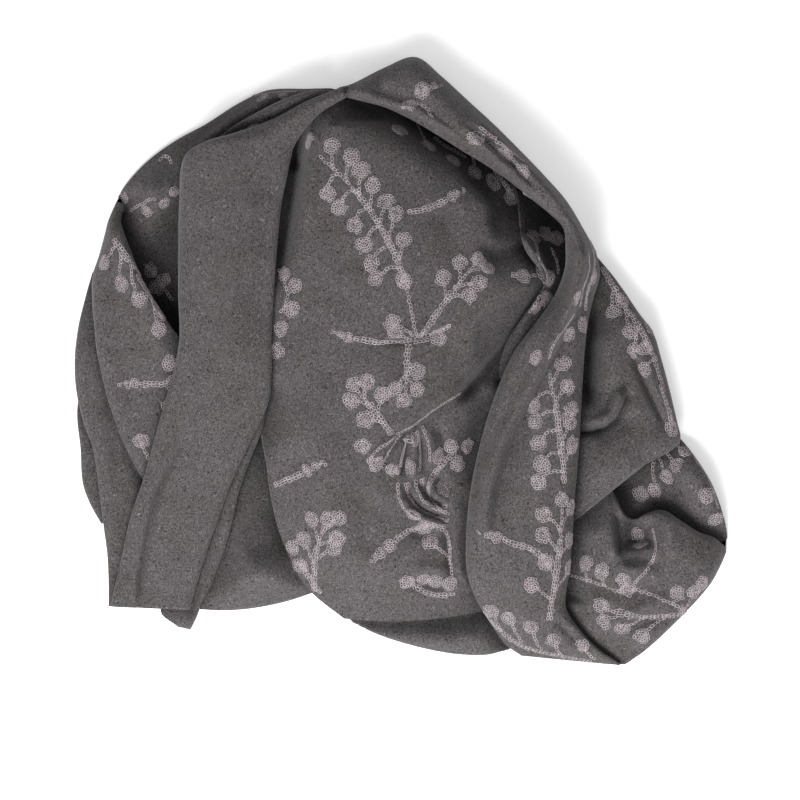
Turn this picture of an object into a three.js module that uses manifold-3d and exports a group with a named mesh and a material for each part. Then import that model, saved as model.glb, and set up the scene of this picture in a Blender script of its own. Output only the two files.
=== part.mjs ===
// An embroidered wool scarf lying in a loose heap, as a set of cloth strips lofted through sections.
// Millimetres, +Z up, the table at z = 0, the origin under the middle of the heap.
import * as THREE from "three";
import Module from "manifold-3d";
import { mergeVertices } from "three/addons/utils/BufferGeometryUtils.js";

const WALL = 2.2; // thickness of the felted wool
const GAP = 0.5; // air between two layers that are pressed together
const CLEAR = 0.32; // the least air that a cut leaves between two layers
const TOUCHING = 0.15; // layers closer than this are cut apart
const REST = WALL / 2; // height of the middle of a layer that lies on the table
const ROLL_STEPS = 2; // facets round a folded edge, from its top to its outermost line, and again below
const FLAP_SHARE = 0.5; // how far the cloth runs on under itself at a folded edge, as a share of its roll

const PRESS_REACH = 5; // how far round a point the layers over it press it down
const PRESS_RINGS = 3; // the places round a point where a ceiling over it is felt for
const PRESS_PLACES = 18;
const STEEPEST = 2.5; // the most extra air, as a share, that a steep layer asks under it
const NARROWEST = 2.2; // a strip narrower than this many rolls has its rolls squeezed
const FLAT = 1e-9; // a cell with less area than this on plan holds nothing down
const SPLINTER = 0.12; // facets finer than this are merged after a cut

const MERGE = 1e-3; // points closer than this are one point

// The hidden layers under the strips share one rounded solid, flat where it rests on the table.
const CORE_MIDDLE = { x: -10, y: -10 };
const CORE_SPOKES = 24;
const CORE_RINGS = 7;
const CORE_STRIDE = 4; // step of the search for its outer edge
const CORE_LEAST = 7; // it ends where less height than this is left under the strips
const CORE_RIM = 3.5; // its height at its outer edge
const CORE_PRESS = 24; // how far round a point the strips press it down
const CORE_SLACK = 0.4; // air over it, more than between the strips
const CORE_LOOKS = 3; // bearings on each side of a spoke, up to the next one, where its radius is tried

const CENTRING = { x: -0.34, y: 0.33 }; // brings the middle of the whole heap over the origin

const WOOL = { color: 0x615c5d, roughness: 0.95, metalness: 0 };
const WOOL_INSIDE = { color: 0x4b4748, roughness: 0.97, metalness: 0 };

// A strip's row is one section across it. Its columns are the left edge (ax, ay), the right edge (bx, by),
// how far the middle of the section bows along the strip, the heights ua and ub of the cloth turned under
// at the two edges, and then the heights across, evenly spaced from the left edge to the right.
const COLUMNS = { ax: 0, ay: 1, bx: 2, by: 3, bow: 4, ua: 5, ub: 6, heights: 7 };

// A crease is a soft ridge, or with a negative height a trough, between two places on a strip.
// columns: x0, y0, x1, y1, width, height

const FRONT_TAIL = {
  name: "front_tail",
  rollA: 7, rollB: 6, along: 11, across: 4,
  rows: [
    [-60, 248, -57, 241, 0, 44, 44, 50, 52, 50],
    [-88, 237, -74, 229, 0, 44, 44, 51, 55, 51],
    [-118, 221, -90, 212, 0, 42, 42, 52, 57, 52],
    [-152, 209, -99, 198, 0, 38, 42, 53, 58, 53],
    [-182, 200, -103, 184, 0, 32, 42, 52, 60, 53],
    [-199, 187, -106, 168, 0, 28, 43, 51, 61, 54],
    [-203, 150, -111, 143, 0, 25, 44, 52, 62, 55],
    [-204, 105, -115, 103, 0, 25, 45, 54, 62, 56],
    [-204, 60, -118, 60, 0, 26, 46, 54, 61, 56],
    [-203, 20, -120, 20, 0, 30, 45, 52, 59, 55],
    [-209, -12, -120, -10, 0, 34, 43, 48, 55, 52],
    [-217, -40, -123, -38, 0, 33, 40, 44, 50, 48],
    [-227, -75, -138, -70, 0, 28, 35, 38, 44, 42],
    [-237, -110, -155, -106, 0, 22, 28, 32, 37, 35],
    [-249, -145, -169, -143, 0, 17, 21, 26, 30, 28],
    [-257, -180, -182, -180, 0, 12, 14, 20, 23, 21],
    [-268, -227, -197, -230, 0, 7, 7, 12, 13, 12],
  ],
};

const LOOP_BAND = {
  name: "loop_band",
  rollA: 14, rollB: 8, along: 21, across: 4,
  rows: [
    [-57, 251, -55, 245, 0, 30, 34, 40, 42, 40],
    [-44, 255, -40, 241, 0, 20, 36, 40, 48, 46],
    [-15, 270, -14, 234, 0, 6, 36, 38, 52, 50],
    [13, 280, 11, 222, 0, REST, 37, 36, 56, 54],
    [36, 263, 33, 209, 0, REST, 38, 38, 58, 55],
    [60, 241, 55, 195, 0, REST, 39, 40, 59, 56],
    [86, 217, 78, 181, 0, REST, 40, 42, 60, 57],
    [111, 192, 101, 165, 0, REST, 41, 44, 61, 58],
    [132, 170, 122, 148, 0, REST, 41, 46, 62, 60],
    [152, 147, 138, 135, 0, REST, 41, 49, 64, 62],
    [167, 122, 150, 122, 0, 4, 42, 54, 67, 64],
    [179, 98, 152, 102, 0, 14, 43, 58, 71, 66],
    [182, 80, 151, 84, 0, 20, 43, 60, 73, 67],
    [176, 58, 142, 60, 0, 24, 43, 61, 75, 66],
    [171, 36, 127, 38, 0, 25, 42, 61, 75, 64],
    [168, 10, 106, 10, 0, 26, 41, 61, 74, 62],
    [166, -20, 91, -22, 0, 27, 40, 60, 72, 60],
    [164, -55, 79, -57, 0, 28, 39, 58, 70, 58],
    [162, -90, 70, -92, 0, 28, 37, 56, 67, 55],
    [159, -125, 64, -125, 0, 27, 34, 53, 64, 52],
    [157, -160, 61, -160, 0, 22, 31, 50, 60, 48],
    [154, -195, 62, -195, 0, 18, 27, 45, 54, 43],
    [151, -226, 71, -221, 0, 13, 18, 36, 45, 35],
    [163, -247, 84, -242, 0, 12, 12, 26, 34, 26],
    [182, -267, 97, -261, 0, 8, 7, 17, 21, 15],
    [203, -281, 112, -272, 0, REST, REST, 6, 6, 6],
  ],
};

const INNER_TWIST = {
  name: "inner_twist",
  rollA: 4, rollB: 4, along: 8, across: 3,
  rows: [
    [107, 158, 127, 146, 0, 32, 32, 38, 39, 38],
    [109, 143, 141, 134, 0, 34, 34, 42, 43, 40],
    [111, 118, 147, 116, 0, 37, 34, 46, 47, 42],
    [116, 101, 150, 98, 0, 39, 34, 48, 49, 42],
    [128, 84, 151, 82, 0, 40, 35, 49, 49, 42],
    [132, 72, 150, 69, 0, 40, 35, 48, 48, 42],
    [125, 57, 146, 52, 0, 38, 34, 46, 46, 41],
    [111, 37, 134, 31, 0, 35, 32, 43, 43, 39],
    [96, 17, 118, 11, 0, 32, 30, 39, 40, 37],
    [80, -1, 102, -7, 0, 29, 28, 35, 36, 34],
  ],
};

const LEFT_SHOULDER = {
  name: "left_shoulder",
  rollA: 9, rollB: 5, along: 10, across: 4,
  rows: [
    [-269, 131, -261, 130, 0, REST, 20, 24, 27, 27],
    [-274, 117, -256, 117, 0, REST, 20, 26, 32, 32],
    [-280, 98, -248, 99, 0, 3, 20, 28, 37, 37],
    [-285, 78, -239, 79, 0, 10, 22, 29, 40, 42],
    [-284, 55, -229, 57, 0, 16, 24, 31, 41, 45],
    [-282, 33, -216, 36, 0, 20, 25, 32, 41, 44],
    [-280, 12, -200, 14, 0, 21, 24, 32, 39, 40],
    [-276, -8, -190, -8, 0, 21, 21, 31, 35, 32],
    [-271, -30, -194, -33, 0, 20, 20, 29, 31, 28],
    [-263, -55, -203, -58, 0, 19, 18, 26, 28, 25],
    [-254, -78, -212, -82, 0, 17, 16, 23, 25, 22],
    [-244, -98, -221, -101, 0, 14, 14, 20, 21, 19],
    [-237, -110, -229, -112, 0, 12, 12, 17, 17, 17],
  ],
};

const TOP_LEFT_INNER = {
  name: "top_left_inner",
  rollA: 4, rollB: 0, along: 6, across: 3,
  rows: [
    [-64, 249, -64, 240, 0, 32, 38, 42, 43, 42],
    [-86, 247, -88, 226, 0, 31, 38, 43, 45, 42],
    [-101, 243, -104, 213, 0, 30, 36, 43, 46, 40],
    [-117, 236, -122, 204, 0, 29, 34, 43, 46, 38],
    [-136, 226, -142, 196, 0, 28, 32, 42, 45, 36],
    [-153, 216, -158, 190, 0, 27, 30, 40, 42, 34],
    [-169, 204, -174, 188, 0, 26, 28, 37, 38, 32],
  ],
};

const TAIL_UNDERLAY = {
  name: "tail_underlay",
  rollA: 0, rollB: 5, along: 9, across: 3,
  rows: [
    [-142, -30, -124, -34, 0, 30, 29, 36, 38, 38],
    [-150, -62, -129, -62, 0, 27, 26, 33, 34, 34],
    [-162, -92, -140, -90, 0, 22, 22, 27, 29, 29],
    [-172, -122, -150, -118, 0, 16, 18, 21, 24, 24],
    [-182, -150, -157, -148, 0, 11, 14, 15, 18, 19],
    [-192, -178, -165, -176, 0, 7, 9, 9, 13, 14],
    [-203, -205, -176, -204, 0, REST, 5, 4, 8, 11],
    [-219, -222, -186, -224, 0, REST, 3, 3, 5, 11],
    [-222, -234, -190, -236, 0, REST, 2, 2.5, 4, 10],
    [-206, -246, -196, -248, 0, REST, REST, 2.5, 4, 7],
  ],
};

const TOP_LEFT_ROLL = {
  name: "top_left_roll",
  rollA: 13, rollB: 0, along: 11, across: 5,
  rows: [
    [-57, 251, -60, 242, 0, 22, 30, 32, 32, 31, 30, 30],
    [-85, 251, -80, 234, 0, 12, 26, 31, 32, 30, 27, 26],
    [-123, 250, -110, 222, 0, REST, 22, 31, 33, 29, 24, 22],
    [-150, 238, -133, 208, 0, REST, 20, 32, 34, 29, 22, 20],
    [-180, 219, -154, 188, 0, REST, 17, 33, 36, 30, 20, 17],
    [-206, 205, -170, 162, 0, REST, 14, 34, 37, 29, 17, 14],
    [-229, 189, -182, 128, 0, REST, 12, 34, 37, 27, 15, 12],
    [-244, 175, -188, 92, 0, REST, 11, 33, 36, 24, 13, 11],
    [-255, 159, -192, 56, 0, REST, 10, 31, 34, 21, 12, 10],
    [-262, 146, -202, 28, 0, REST, 9, 27, 28, 19, 11, 9],
    [-264, 140, -222, 22, 0, REST, 8, 19, 15, 12, 10, 8],
  ],
};

const CENTRE_PANEL = {
  name: "centre_panel",
  rollA: 0, rollB: 0, along: 15, across: 9,
  rows: [
    [-64, 242, -52, 241, 0, 30, 30, 41, 43, 44, 44, 43, 42, 38],
    [-84, 224, -26, 236, 0, 30, 20, 28, 44, 46, 44, 40, 32, 28],
    [-100, 204, 26, 220, 0, 22, 20, 22, 48, 52, 48, 42, 30, 24],
    [-112, 182, 66, 194, 0, 26, 20, 26, 50, 56, 54, 48, 34, 26],
    [-120, 156, 106, 168, 0, 30, 20, 32, 51, 57, 58, 54, 40, 28],
    [-124, 126, 122, 132, 0, 36, 22, 38, 51, 58, 60, 57, 46, 33],
    [-128, 94, 136, 98, 0, 38, 24, 42, 52, 58, 61, 59, 47, 28],
    [-130, 62, 138, 66, 0, 38, 26, 42, 52, 58, 60, 60, 55, 29],
    [-131, 30, 122, 36, 0, 38, 26, 41, 52, 57, 60, 60, 54, 29],
    [-131, -2, 104, 4, 0, 38, 24, 40, 51, 56, 60, 60, 48, 29],
    [-128, -34, 100, -30, 0, 34, 22, 35, 50, 55, 59, 57, 42, 30],
    [-129, -64, 90, -62, 0, 30, 21, 34, 48, 53, 57, 48, 38, 29],
    [-124, -94, 83, -94, 0, 22, 20, 30, 45, 51, 50, 42, 37, 29],
    [-120, -124, 78, -124, 0, 17, 18, 26, 42, 48, 45, 40, 36, 28],
    [-113, -154, 74, -154, 0, 13, 16, 22, 38, 44, 42, 38, 34, 26],
    [-102, -182, 74, -184, 0, 9, 14, 18, 33, 39, 39, 36, 32, 24],
    [-85, -211, 78, -208, 0, REST, 12, 11, 26, 32, 33, 31, 28, 22],
    [-53, -237, 82, -226, 0, REST, 10, 5, 14, 20, 22, 22, 20, 17],
  ],
  creases: [
    [-86, 212, -88, 140, 9, -9],
    [60, -10, 80, -60, 16, -4],
  ],
};

const RIGHT_PANEL = {
  name: "right_panel",
  rollA: 0, rollB: 10, along: 12, across: 5,
  rows: [
    [172, 98, 185, 92, 0, 8, 4, 11, 14, 18],
    [164, 82, 194, 80, 0, 8, REST, 14, 19, 24],
    [160, 63, 207, 62, 0, 8, REST, 15, 24, 27],
    [154, 44, 219, 44, 0, 9, REST, 16, 32, 29],
    [152, 25, 232, 26, 0, 12, REST, 17, 38, 32],
    [150, 5, 239, 4, 0, 12, REST, 16, 39, 33],
    [149, -18, 245, -18, 0, 12, REST, 17, 40, 33],
    [148, -40, 250, -38, 0, 12, REST, 20, 41, 33],
    [148, -60, 254, -54, 0, 13, 5, 23, 42, 32],
    [148, -84, 254, -66, 0, 14, 11, 24, 43, 31],
    [148, -108, 249, -74, 0, 14, 14, 24, 42, 30],
    [149, -132, 240, -82, 0, 14, 14, 24, 39, 30],
    [150, -147, 233, -87, 0, 14, 14, 23, 37, 29],
    [151, -154, 228, -92, 0, 12, 13, 17, 24, 22],
  ],
  creases: [
    [158, -62, 194, -55, 5, -9],
    [194, -55, 205, -34, 5, -6],
  ],
};

const FRONT_POUCH = {
  name: "front_pouch",
  rollA: 6, rollB: 12, along: 11, across: 4,
  rows: [
    [149, -158, 148, -228, 0, 11, REST, 18, 20, 10],
    [159, -151, 157, -240, 0, 11, REST, 23, 23, 12],
    [176, -140, 173, -256, 0, 12, REST, 30, 28, 14],
    [187, -133, 188, -270, 0, 12, REST, 33, 30, 16],
    [195, -129, 203, -281, 0, 13, REST, 34, 32, 20],
    [205, -141, 217, -273, 0, 12, REST, 31, 31, 23],
    [216, -147, 231, -262, 0, 12, REST, 28, 31, 25],
    [228, -141, 246, -248, 0, 12, REST, 30, 33, 27],
    [243, -139, 262, -232, 0, 13, REST, 34, 36, 28],
    [259, -149, 276, -217, 0, 12, REST, 33, 36, 28],
    [275, -159, 287, -203, 0, 12, REST, 29, 32, 26],
    [288, -169, 295, -192, 0, 9, REST, 22, 23, 20],
    [298, -181, 300, -184, 0, REST, REST, 8, 8, 8],
  ],
  creases: [
    [215, -150, 216, -178, 12, -9],
    [250, -150, 255, -178, 9, 3],
  ],
};

const RIGHT_LOWER_FOLD = {
  name: "right_lower_fold",
  rollA: 0, rollB: 11, along: 9, across: 4,
  rows: [
    [240, -68, 257, -71, 0, 5, REST, 6, 6, 7, 7, 7],
    [224, -79, 266, -82, 0, 5, REST, 7, 8, 12, 19, 20],
    [204, -94, 278, -99, 0, 5, REST, 8, 10, 22, 27, 26],
    [192, -112, 287, -115, 0, 4, REST, 9, 11, 22, 28, 29],
    [188, -132, 294, -133, 0, 4, REST, 7, 9, 17, 25, 28],
    [208, -148, 299, -150, 0, 3, REST, 6, 7, 11, 19, 25],
    [238, -149, 301.5, -163, 0, 3, REST, 5, 7, 11, 16, 19],
    [264, -160, 301, -172, 0, 3, REST, 5, 6, 8, 11, 13],
    [284, -170, 300, -178, 0, 2, REST, 4, 4, 5, 6, 7],
  ],
};

const BOTTOM_ROLL = {
  name: "bottom_roll",
  rollA: 0, rollB: 14, along: 8, across: 4,
  rows: [
    [-66, -216, -60, -231, 0, 2, REST, 5, 6, 6],
    [-46, -216, -43, -242, 0, 3, REST, 8, 12, 12],
    [-20, -210, -16, -254, 0, 5, REST, 12, 22, 20],
    [14, -208, 18, -264, 0, 6, REST, 14, 27, 24],
    [44, -208, 50, -270, 0, 6, REST, 15, 29, 26],
    [70, -212, 78, -271, 0, 6, REST, 15, 28, 24],
    [86, -230, 92, -268, 0, 5, REST, 12, 17, 14],
    [96, -247, 101, -266, 0, 3, REST, 6, 7, 6],
  ],
};

const LEFT_PLEAT = {
  name: "left_pleat",
  rollA: 10, rollB: 0, along: 10, across: 3,
  rows: [
    [-285, 82, -272, 80, 0, REST, 3, 5, 5, 5],
    [-291, 60, -262, 58, 0, REST, 5, 13, 13, 10],
    [-298, 30, -260, 28, 0, REST, 6, 18, 17, 13],
    [-301, 0, -252, 0, 0, REST, 6, 21, 20, 14],
    [-299, -30, -246, -30, 0, 5, 6, 20, 19, 13],
    [-292, -58, -236, -56, 0, 9, 6, 20, 19, 12],
    [-284, -80, -226, -84, 0, 10, 5, 19, 18, 11],
    [-280, -104, -220, -110, 0, 10, 4, 18, 16, 9],
    [-277, -130, -226, -132, 0, 8, 3, 16, 14, 7],
    [-274, -155, -234, -155, 0, 5, 3, 14, 12, 6],
    [-271, -180, -244, -180, 0, REST, 2, 11, 9, 5],
    [-270, -205, -254, -205, 0, REST, 2, 8, 6, 4],
    [-270, -227, -262, -227, 0, REST, 2, 4, 4, 3],
  ],
};

const LEFT_OUTER_FOLD = {
  name: "left_outer_fold",
  rollA: 5, rollB: 0, along: 6, across: 2,
  rows: [
    [-300, -36, -286, -36, 0, REST, 2, 4, 4],
    [-299, -54, -278, -52, 0, REST, 2, 7, 6],
    [-296, -80, -266, -80, 0, REST, 2, 9, 6],
    [-294, -112, -262, -110, 0, REST, 2, 9, 5],
    [-287, -132, -260, -132, 0, REST, 2, 7, 4],
    [-277, -150, -258, -150, 0, REST, 2, 4, 3],
  ],
};

const LOWER_LEFT_FLAP = {
  name: "lower_left_flap",
  rollA: 0, rollB: 0, along: 8, across: 4,
  rows: [
    [-150, -38, -108, -40, 0, 8, 8, 28, 28, 26],
    [-168, -72, -102, -74, 0, 8, 8, 24, 25, 20],
    [-184, -106, -96, -108, 0, 6, 6, 18, 21, 15],
    [-196, -140, -90, -142, 0, 4, 4, 12, 17, 11],
    [-204, -170, -82, -172, 0, 3, 3, 7, 14, 7],
    [-206, -196, -74, -198, 2, 2, 2, 4, 11, 3],
    [-198, -216, -74, -207, 4, 2, 2, 3, 7, 2],
    [-186, -230, -80, -213, 6, REST, REST, 1.5, 1.5, 1.5],
  ],
  creases: [
    [-184, -222, -158, -198, 10, 5],
  ],
};

// From the topmost strip to the lowest: each is pressed down under those before it.
const STRIPS = [
  FRONT_TAIL,
  LOOP_BAND,
  INNER_TWIST,
  LEFT_SHOULDER,
  TOP_LEFT_INNER,
  TAIL_UNDERLAY,
  CENTRE_PANEL,
  TOP_LEFT_ROLL,
  RIGHT_PANEL,
  FRONT_POUCH,
  RIGHT_LOWER_FOLD,
  BOTTOM_ROLL,
  LEFT_PLEAT,
  LEFT_OUTER_FOLD,
  LOWER_LEFT_FLAP,
];

const wasm = await Module();
wasm.setup();

// A smooth curve through values that stand at the given stations.
function through(stations, values, at) {
  const last = stations.length - 1;
  let k = 0;
  while (k < last - 1 && at > stations[k + 1]) k += 1;
  const span = stations[k + 1] - stations[k];
  const t = Math.min(Math.max((at - stations[k]) / span, 0), 1);
  const slope = (i) => {
    const low = Math.max(i - 1, 0);
    const high = Math.min(i + 1, last);
    return (values[high] - values[low]) / (stations[high] - stations[low]);
  };
  const start = slope(k) * span;
  const end = slope(k + 1) * span;
  const t2 = t * t;
  const t3 = t2 * t;
  return values[k] * (2 * t3 - 3 * t2 + 1) + start * (t3 - 2 * t2 + t)
    + values[k + 1] * (3 * t2 - 2 * t3) + end * (t3 - t2);
}

// How far along the strip each row stands, measured between the middles of the rows.
function rowStations(rows) {
  const stations = [0];
  for (let i = 1; i < rows.length; i += 1) {
    const [p, q] = [rows[i - 1], rows[i]];
    const dx = (q[0] + q[2] - p[0] - p[2]) / 2;
    const dy = (q[1] + q[3] - p[1] - p[3]) / 2;
    stations.push(stations[i - 1] + Math.hypot(dx, dy));
  }
  return stations;
}

// The section across a strip at a distance along it, with every column smoothed between the rows.
function sectionAt(strip, stations, at) {
  const column = (number) => strip.rows.map((row) => row[number]);
  const values = strip.rows[0].map((_, number) => through(stations, column(number), at));
  const [ax, ay, bx, by, bow, ua, ub] = values;
  return { ax, ay, bx, by, bow, ua, ub, heights: values.slice(COLUMNS.heights) };
}

// The height that a strip's creases add at one place.
function creaseHeight(creases, x, y) {
  let height = 0;
  for (const [x0, y0, x1, y1, width, lift] of creases ?? []) {
    const length2 = (x1 - x0) ** 2 + (y1 - y0) ** 2;
    const t = Math.min(Math.max(((x - x0) * (x1 - x0) + (y - y0) * (y1 - y0)) / length2, 0), 1);
    const away = Math.hypot(x - x0 - t * (x1 - x0), y - y0 - t * (y1 - y0));
    height += lift * Math.exp(-((away / width) ** 2));
  }
  return height;
}

// Where a strip's lattice stands from one folded edge to the other: the distance in from the edge,
// and the share of the height there, which is 1 on top, half at the outermost line and 0 turned under.
function edgeSteps(roll) {
  if (roll === 0) return [{ inward: 0, share: 1 }];
  const steps = [{ inward: roll * (1 + FLAP_SHARE), share: 0 }];
  for (let i = 0; i <= 2 * ROLL_STEPS; i += 1) {
    const turn = (Math.PI * i) / (2 * ROLL_STEPS);
    steps.push({ inward: roll * (1 - Math.sin(turn)), share: (1 - Math.cos(turn)) / 2 });
  }
  return steps;
}

// The lattice of points on the middle of a strip's cloth: one row of points for each section.
function lattice(strip) {
  const stations = rowStations(strip.rows);
  const length = stations[stations.length - 1];
  const ends = [];
  for (let i = 0; i <= strip.along; i += 1) {
    ends.push((length * i) / strip.along);
  }
  return ends.map((at) => {
    const section = sectionAt(strip, stations, at);
    const width = Math.hypot(section.bx - section.ax, section.by - section.ay);
    const squeeze = Math.min(1, width / (NARROWEST * Math.max(strip.rollA, strip.rollB, 1)));
    const left = edgeSteps(strip.rollA * squeeze).map(({ inward, share }) => (
      { u: inward / width, share, under: section.ua }
    ));
    const right = edgeSteps(strip.rollB * squeeze).map(({ inward, share }) => (
      { u: 1 - inward / width, share, under: section.ub }
    ));
    right.reverse();
    const from = left[left.length - 1].u;
    const to = right[0].u;
    const middle = [];
    for (let i = 1; i < strip.across; i += 1) {
      const u = from + ((to - from) * i) / strip.across;
      middle.push({ u, share: 1, under: section.ua + (section.ub - section.ua) * u });
    }
    const marks = section.heights.map((_, i) => i / (section.heights.length - 1));
    return [...left, ...middle, ...right].map(({ u, share, under }) => {
      const inside = Math.min(Math.max(u, 0), 1);
      const bulge = (section.bow * 4 * inside * (1 - inside)) / width;
      const x = section.ax + (section.bx - section.ax) * u + (section.by - section.ay) * bulge;
      const y = section.ay + (section.by - section.ay) * u - (section.bx - section.ax) * bulge;
      const top = through(marks, section.heights, inside) + creaseHeight(strip.creases, x, y);
      const z = under + (Math.max(top, under) - under) * share;
      return new THREE.Vector3(x, y, Math.max(z, REST));
    });
  });
}

// The two triangles of each cell of a lattice, as points.
function cells(points) {
  const triangles = [];
  for (let i = 0; i + 1 < points.length; i += 1) {
    for (let j = 0; j + 1 < points[i].length; j += 1) {
      triangles.push([points[i][j], points[i + 1][j], points[i + 1][j + 1]]);
      triangles.push([points[i][j], points[i + 1][j + 1], points[i][j + 1]]);
    }
  }
  return triangles;
}

// The lowest ceiling at and close around a place, so that flat facets stay clear too.
function ceilingNear(triangles, x, y, farthest) {
  let ceiling = ceilingUnder(triangles, x, y);
  for (let i = 0; i < PRESS_PLACES; i += 1) {
    const turn = (2 * Math.PI * i) / PRESS_PLACES;
    const reach = (farthest * (1 + (i % PRESS_RINGS))) / PRESS_RINGS;
    const near = ceilingUnder(triangles, x + reach * Math.cos(turn), y + reach * Math.sin(turn));
    ceiling = Math.min(ceiling, near);
  }
  return ceiling;
}

// The highest that the middle of a layer may lie at a place, to stay clear under every cell over it.
function ceilingUnder(triangles, x, y) {
  let ceiling = Infinity;
  for (const [a, b, c] of triangles) {
    if (x < Math.min(a.x, b.x, c.x) || x > Math.max(a.x, b.x, c.x)) continue;
    if (y < Math.min(a.y, b.y, c.y) || y > Math.max(a.y, b.y, c.y)) continue;
    const area = (b.x - a.x) * (c.y - a.y) - (c.x - a.x) * (b.y - a.y);
    if (Math.abs(area) < FLAT) continue;
    const v = ((x - a.x) * (c.y - a.y) - (c.x - a.x) * (y - a.y)) / area;
    const w = ((b.x - a.x) * (y - a.y) - (x - a.x) * (b.y - a.y)) / area;
    if (v < 0 || w < 0 || v + w > 1) continue;
    const height = a.z + v * (b.z - a.z) + w * (c.z - a.z);
    const steepness = b.clone().sub(a).cross(c.clone().sub(a)).length() / Math.abs(area);
    ceiling = Math.min(ceiling, height - (WALL + GAP) * Math.min(steepness, STEEPEST));
  }
  return ceiling;
}

// A lattice whose border is moved outward along its own surface.
function widened(points, distance) {
  const beyond = (end, next) => end.clone().addScaledVector(end.clone().sub(next).normalize(), distance);
  const wide = points.map((row) => {
    const last = row.length - 1;
    return [beyond(row[0], row[1]), ...row.slice(1, last), beyond(row[last], row[last - 1])];
  });
  const last = wide.length - 1;
  const first = wide[0].map((point, j) => beyond(point, wide[1][j]));
  const final = wide[last].map((point, j) => beyond(point, wide[last - 1][j]));
  return [first, ...wide.slice(1, last), final];
}

// A wall of the given thickness on both sides of a lattice, closed all round, as a solid.
function wallSolid(points, thickness) {
  const rows = points.length;
  const columns = points[0].length;
  const normalAt = (i, j) => {
    const along = points[Math.min(i + 1, rows - 1)][j].clone().sub(points[Math.max(i - 1, 0)][j]);
    const across = points[i][Math.min(j + 1, columns - 1)].clone().sub(points[i][Math.max(j - 1, 0)]);
    return along.cross(across).normalize();
  };
  const positions = [];
  for (const side of [0.5, -0.5]) {
    for (let i = 0; i < rows; i += 1) {
      for (let j = 0; j < columns; j += 1) {
        const place = points[i][j].clone().addScaledVector(normalAt(i, j), side * thickness);
        positions.push(place.x, place.y, place.z);
      }
    }
  }
  const index = [];
  const back = rows * columns;
  const id = (i, j) => i * columns + j;
  const quad = (a, b, c, d) => index.push(a, b, c, a, c, d);
  for (let i = 0; i + 1 < rows; i += 1) {
    for (let j = 0; j + 1 < columns; j += 1) {
      const [a, b, c, d] = [id(i, j), id(i + 1, j), id(i + 1, j + 1), id(i, j + 1)];
      quad(a, b, c, d);
      quad(back + a, back + d, back + c, back + b);
    }
    const [left, leftNext] = [id(i, 0), id(i + 1, 0)];
    const [right, rightNext] = [id(i, columns - 1), id(i + 1, columns - 1)];
    quad(left, back + left, back + leftNext, leftNext);
    quad(right, rightNext, back + rightNext, back + right);
  }
  for (let j = 0; j + 1 < columns; j += 1) {
    const [first, firstNext] = [id(0, j), id(0, j + 1)];
    const [last, lastNext] = [id(rows - 1, j), id(rows - 1, j + 1)];
    quad(first, firstNext, back + firstNext, back + first);
    quad(last, back + last, back + lastNext, lastNext);
  }
  return toSolid(positions, index);
}

function toSolid(positions, index) {
  const geometry = new THREE.BufferGeometry();
  geometry.setAttribute("position", new THREE.Float32BufferAttribute(positions, 3));
  geometry.setIndex(index);
  const merged = mergeVertices(geometry, MERGE);
  const vertProperties = new Float32Array(merged.attributes.position.array);
  const triVerts = new Uint32Array(merged.index.array);
  return new wasm.Manifold(new wasm.Mesh({ numProp: 3, vertProperties, triVerts }));
}

function largestPiece(solid) {
  const pieces = solid.decompose();
  return pieces.reduce((best, piece) => (piece.volume() > best.volume() ? piece : best));
}

// The solid again from 32-bit numbers, so that what rounding splits off can be left behind.
function asFloats(solid) {
  const { vertProperties, triVerts } = solid.getMesh();
  return toSolid([...vertProperties], [...triVerts]);
}

function toMesh(name, solid, look) {
  const { numProp, vertProperties, triVerts } = solid.getMesh();
  const positions = [];
  for (let i = 0; i < vertProperties.length; i += numProp) {
    const [x, y, z] = vertProperties.slice(i, i + 3);
    positions.push(x + CENTRING.x, y + CENTRING.y, z);
  }
  const geometry = new THREE.BufferGeometry();
  geometry.setAttribute("position", new THREE.Float32BufferAttribute(positions, 3));
  geometry.setIndex([...triVerts]);
  geometry.computeVertexNormals();
  const mesh = new THREE.Mesh(geometry, new THREE.MeshStandardMaterial(look));
  mesh.name = name;
  return mesh;
}

const scarf = new THREE.Group();
const laid = [];
let above = [];
for (const strip of STRIPS) {
  const points = lattice(strip);
  for (const point of points.flat()) {
    point.z = Math.max(Math.min(point.z, ceilingNear(above, point.x, point.y, PRESS_REACH)), REST);
  }
  laid.push({ strip, points });
  above = above.concat(cells(points));
}

const finished = [];

// A solid with room cut in it for every finished strip that it still meets or nearly touches.
function cutClear(solid) {
  let clear = solid;
  for (const strip of finished) {
    if (clear.minGap(strip.solid, CLEAR) >= TOUCHING) continue;
    clear = clear.subtract(strip.grown);
    if (clear.intersect(strip.solid).isEmpty()) continue;
    clear = clear.subtract(strip.solid.translate([0, 0, -CLEAR])).subtract(strip.solid);
  }
  return largestPiece(asFloats(clear.simplify(SPLINTER)));
}

for (const { strip, points } of laid) {
  const solid = cutClear(wallSolid(points, WALL));
  finished.push({ solid, grown: wallSolid(widened(points, CLEAR), WALL + 2 * CLEAR) });
  scarf.add(toMesh(strip.name, solid, WOOL));
}

// The height left for the hidden layers at a place, or nothing where no strip covers it.
function roomUnder(x, y, farthest) {
  const ceiling = ceilingNear(above, x, y, farthest);
  return Number.isFinite(ceiling) ? ceiling + WALL / 2 - CORE_SLACK : 0;
}

// How far the hidden layers can run out along a bearing before the strips over them come too low.
function clearRadius(turn) {
  let radius = 0;
  const { x, y } = CORE_MIDDLE;
  const room = () => roomUnder(x + radius * Math.cos(turn), y + radius * Math.sin(turn), 0);
  while (room() > CORE_LEAST) radius += CORE_STRIDE;
  return radius - 2 * CORE_STRIDE;
}

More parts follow.
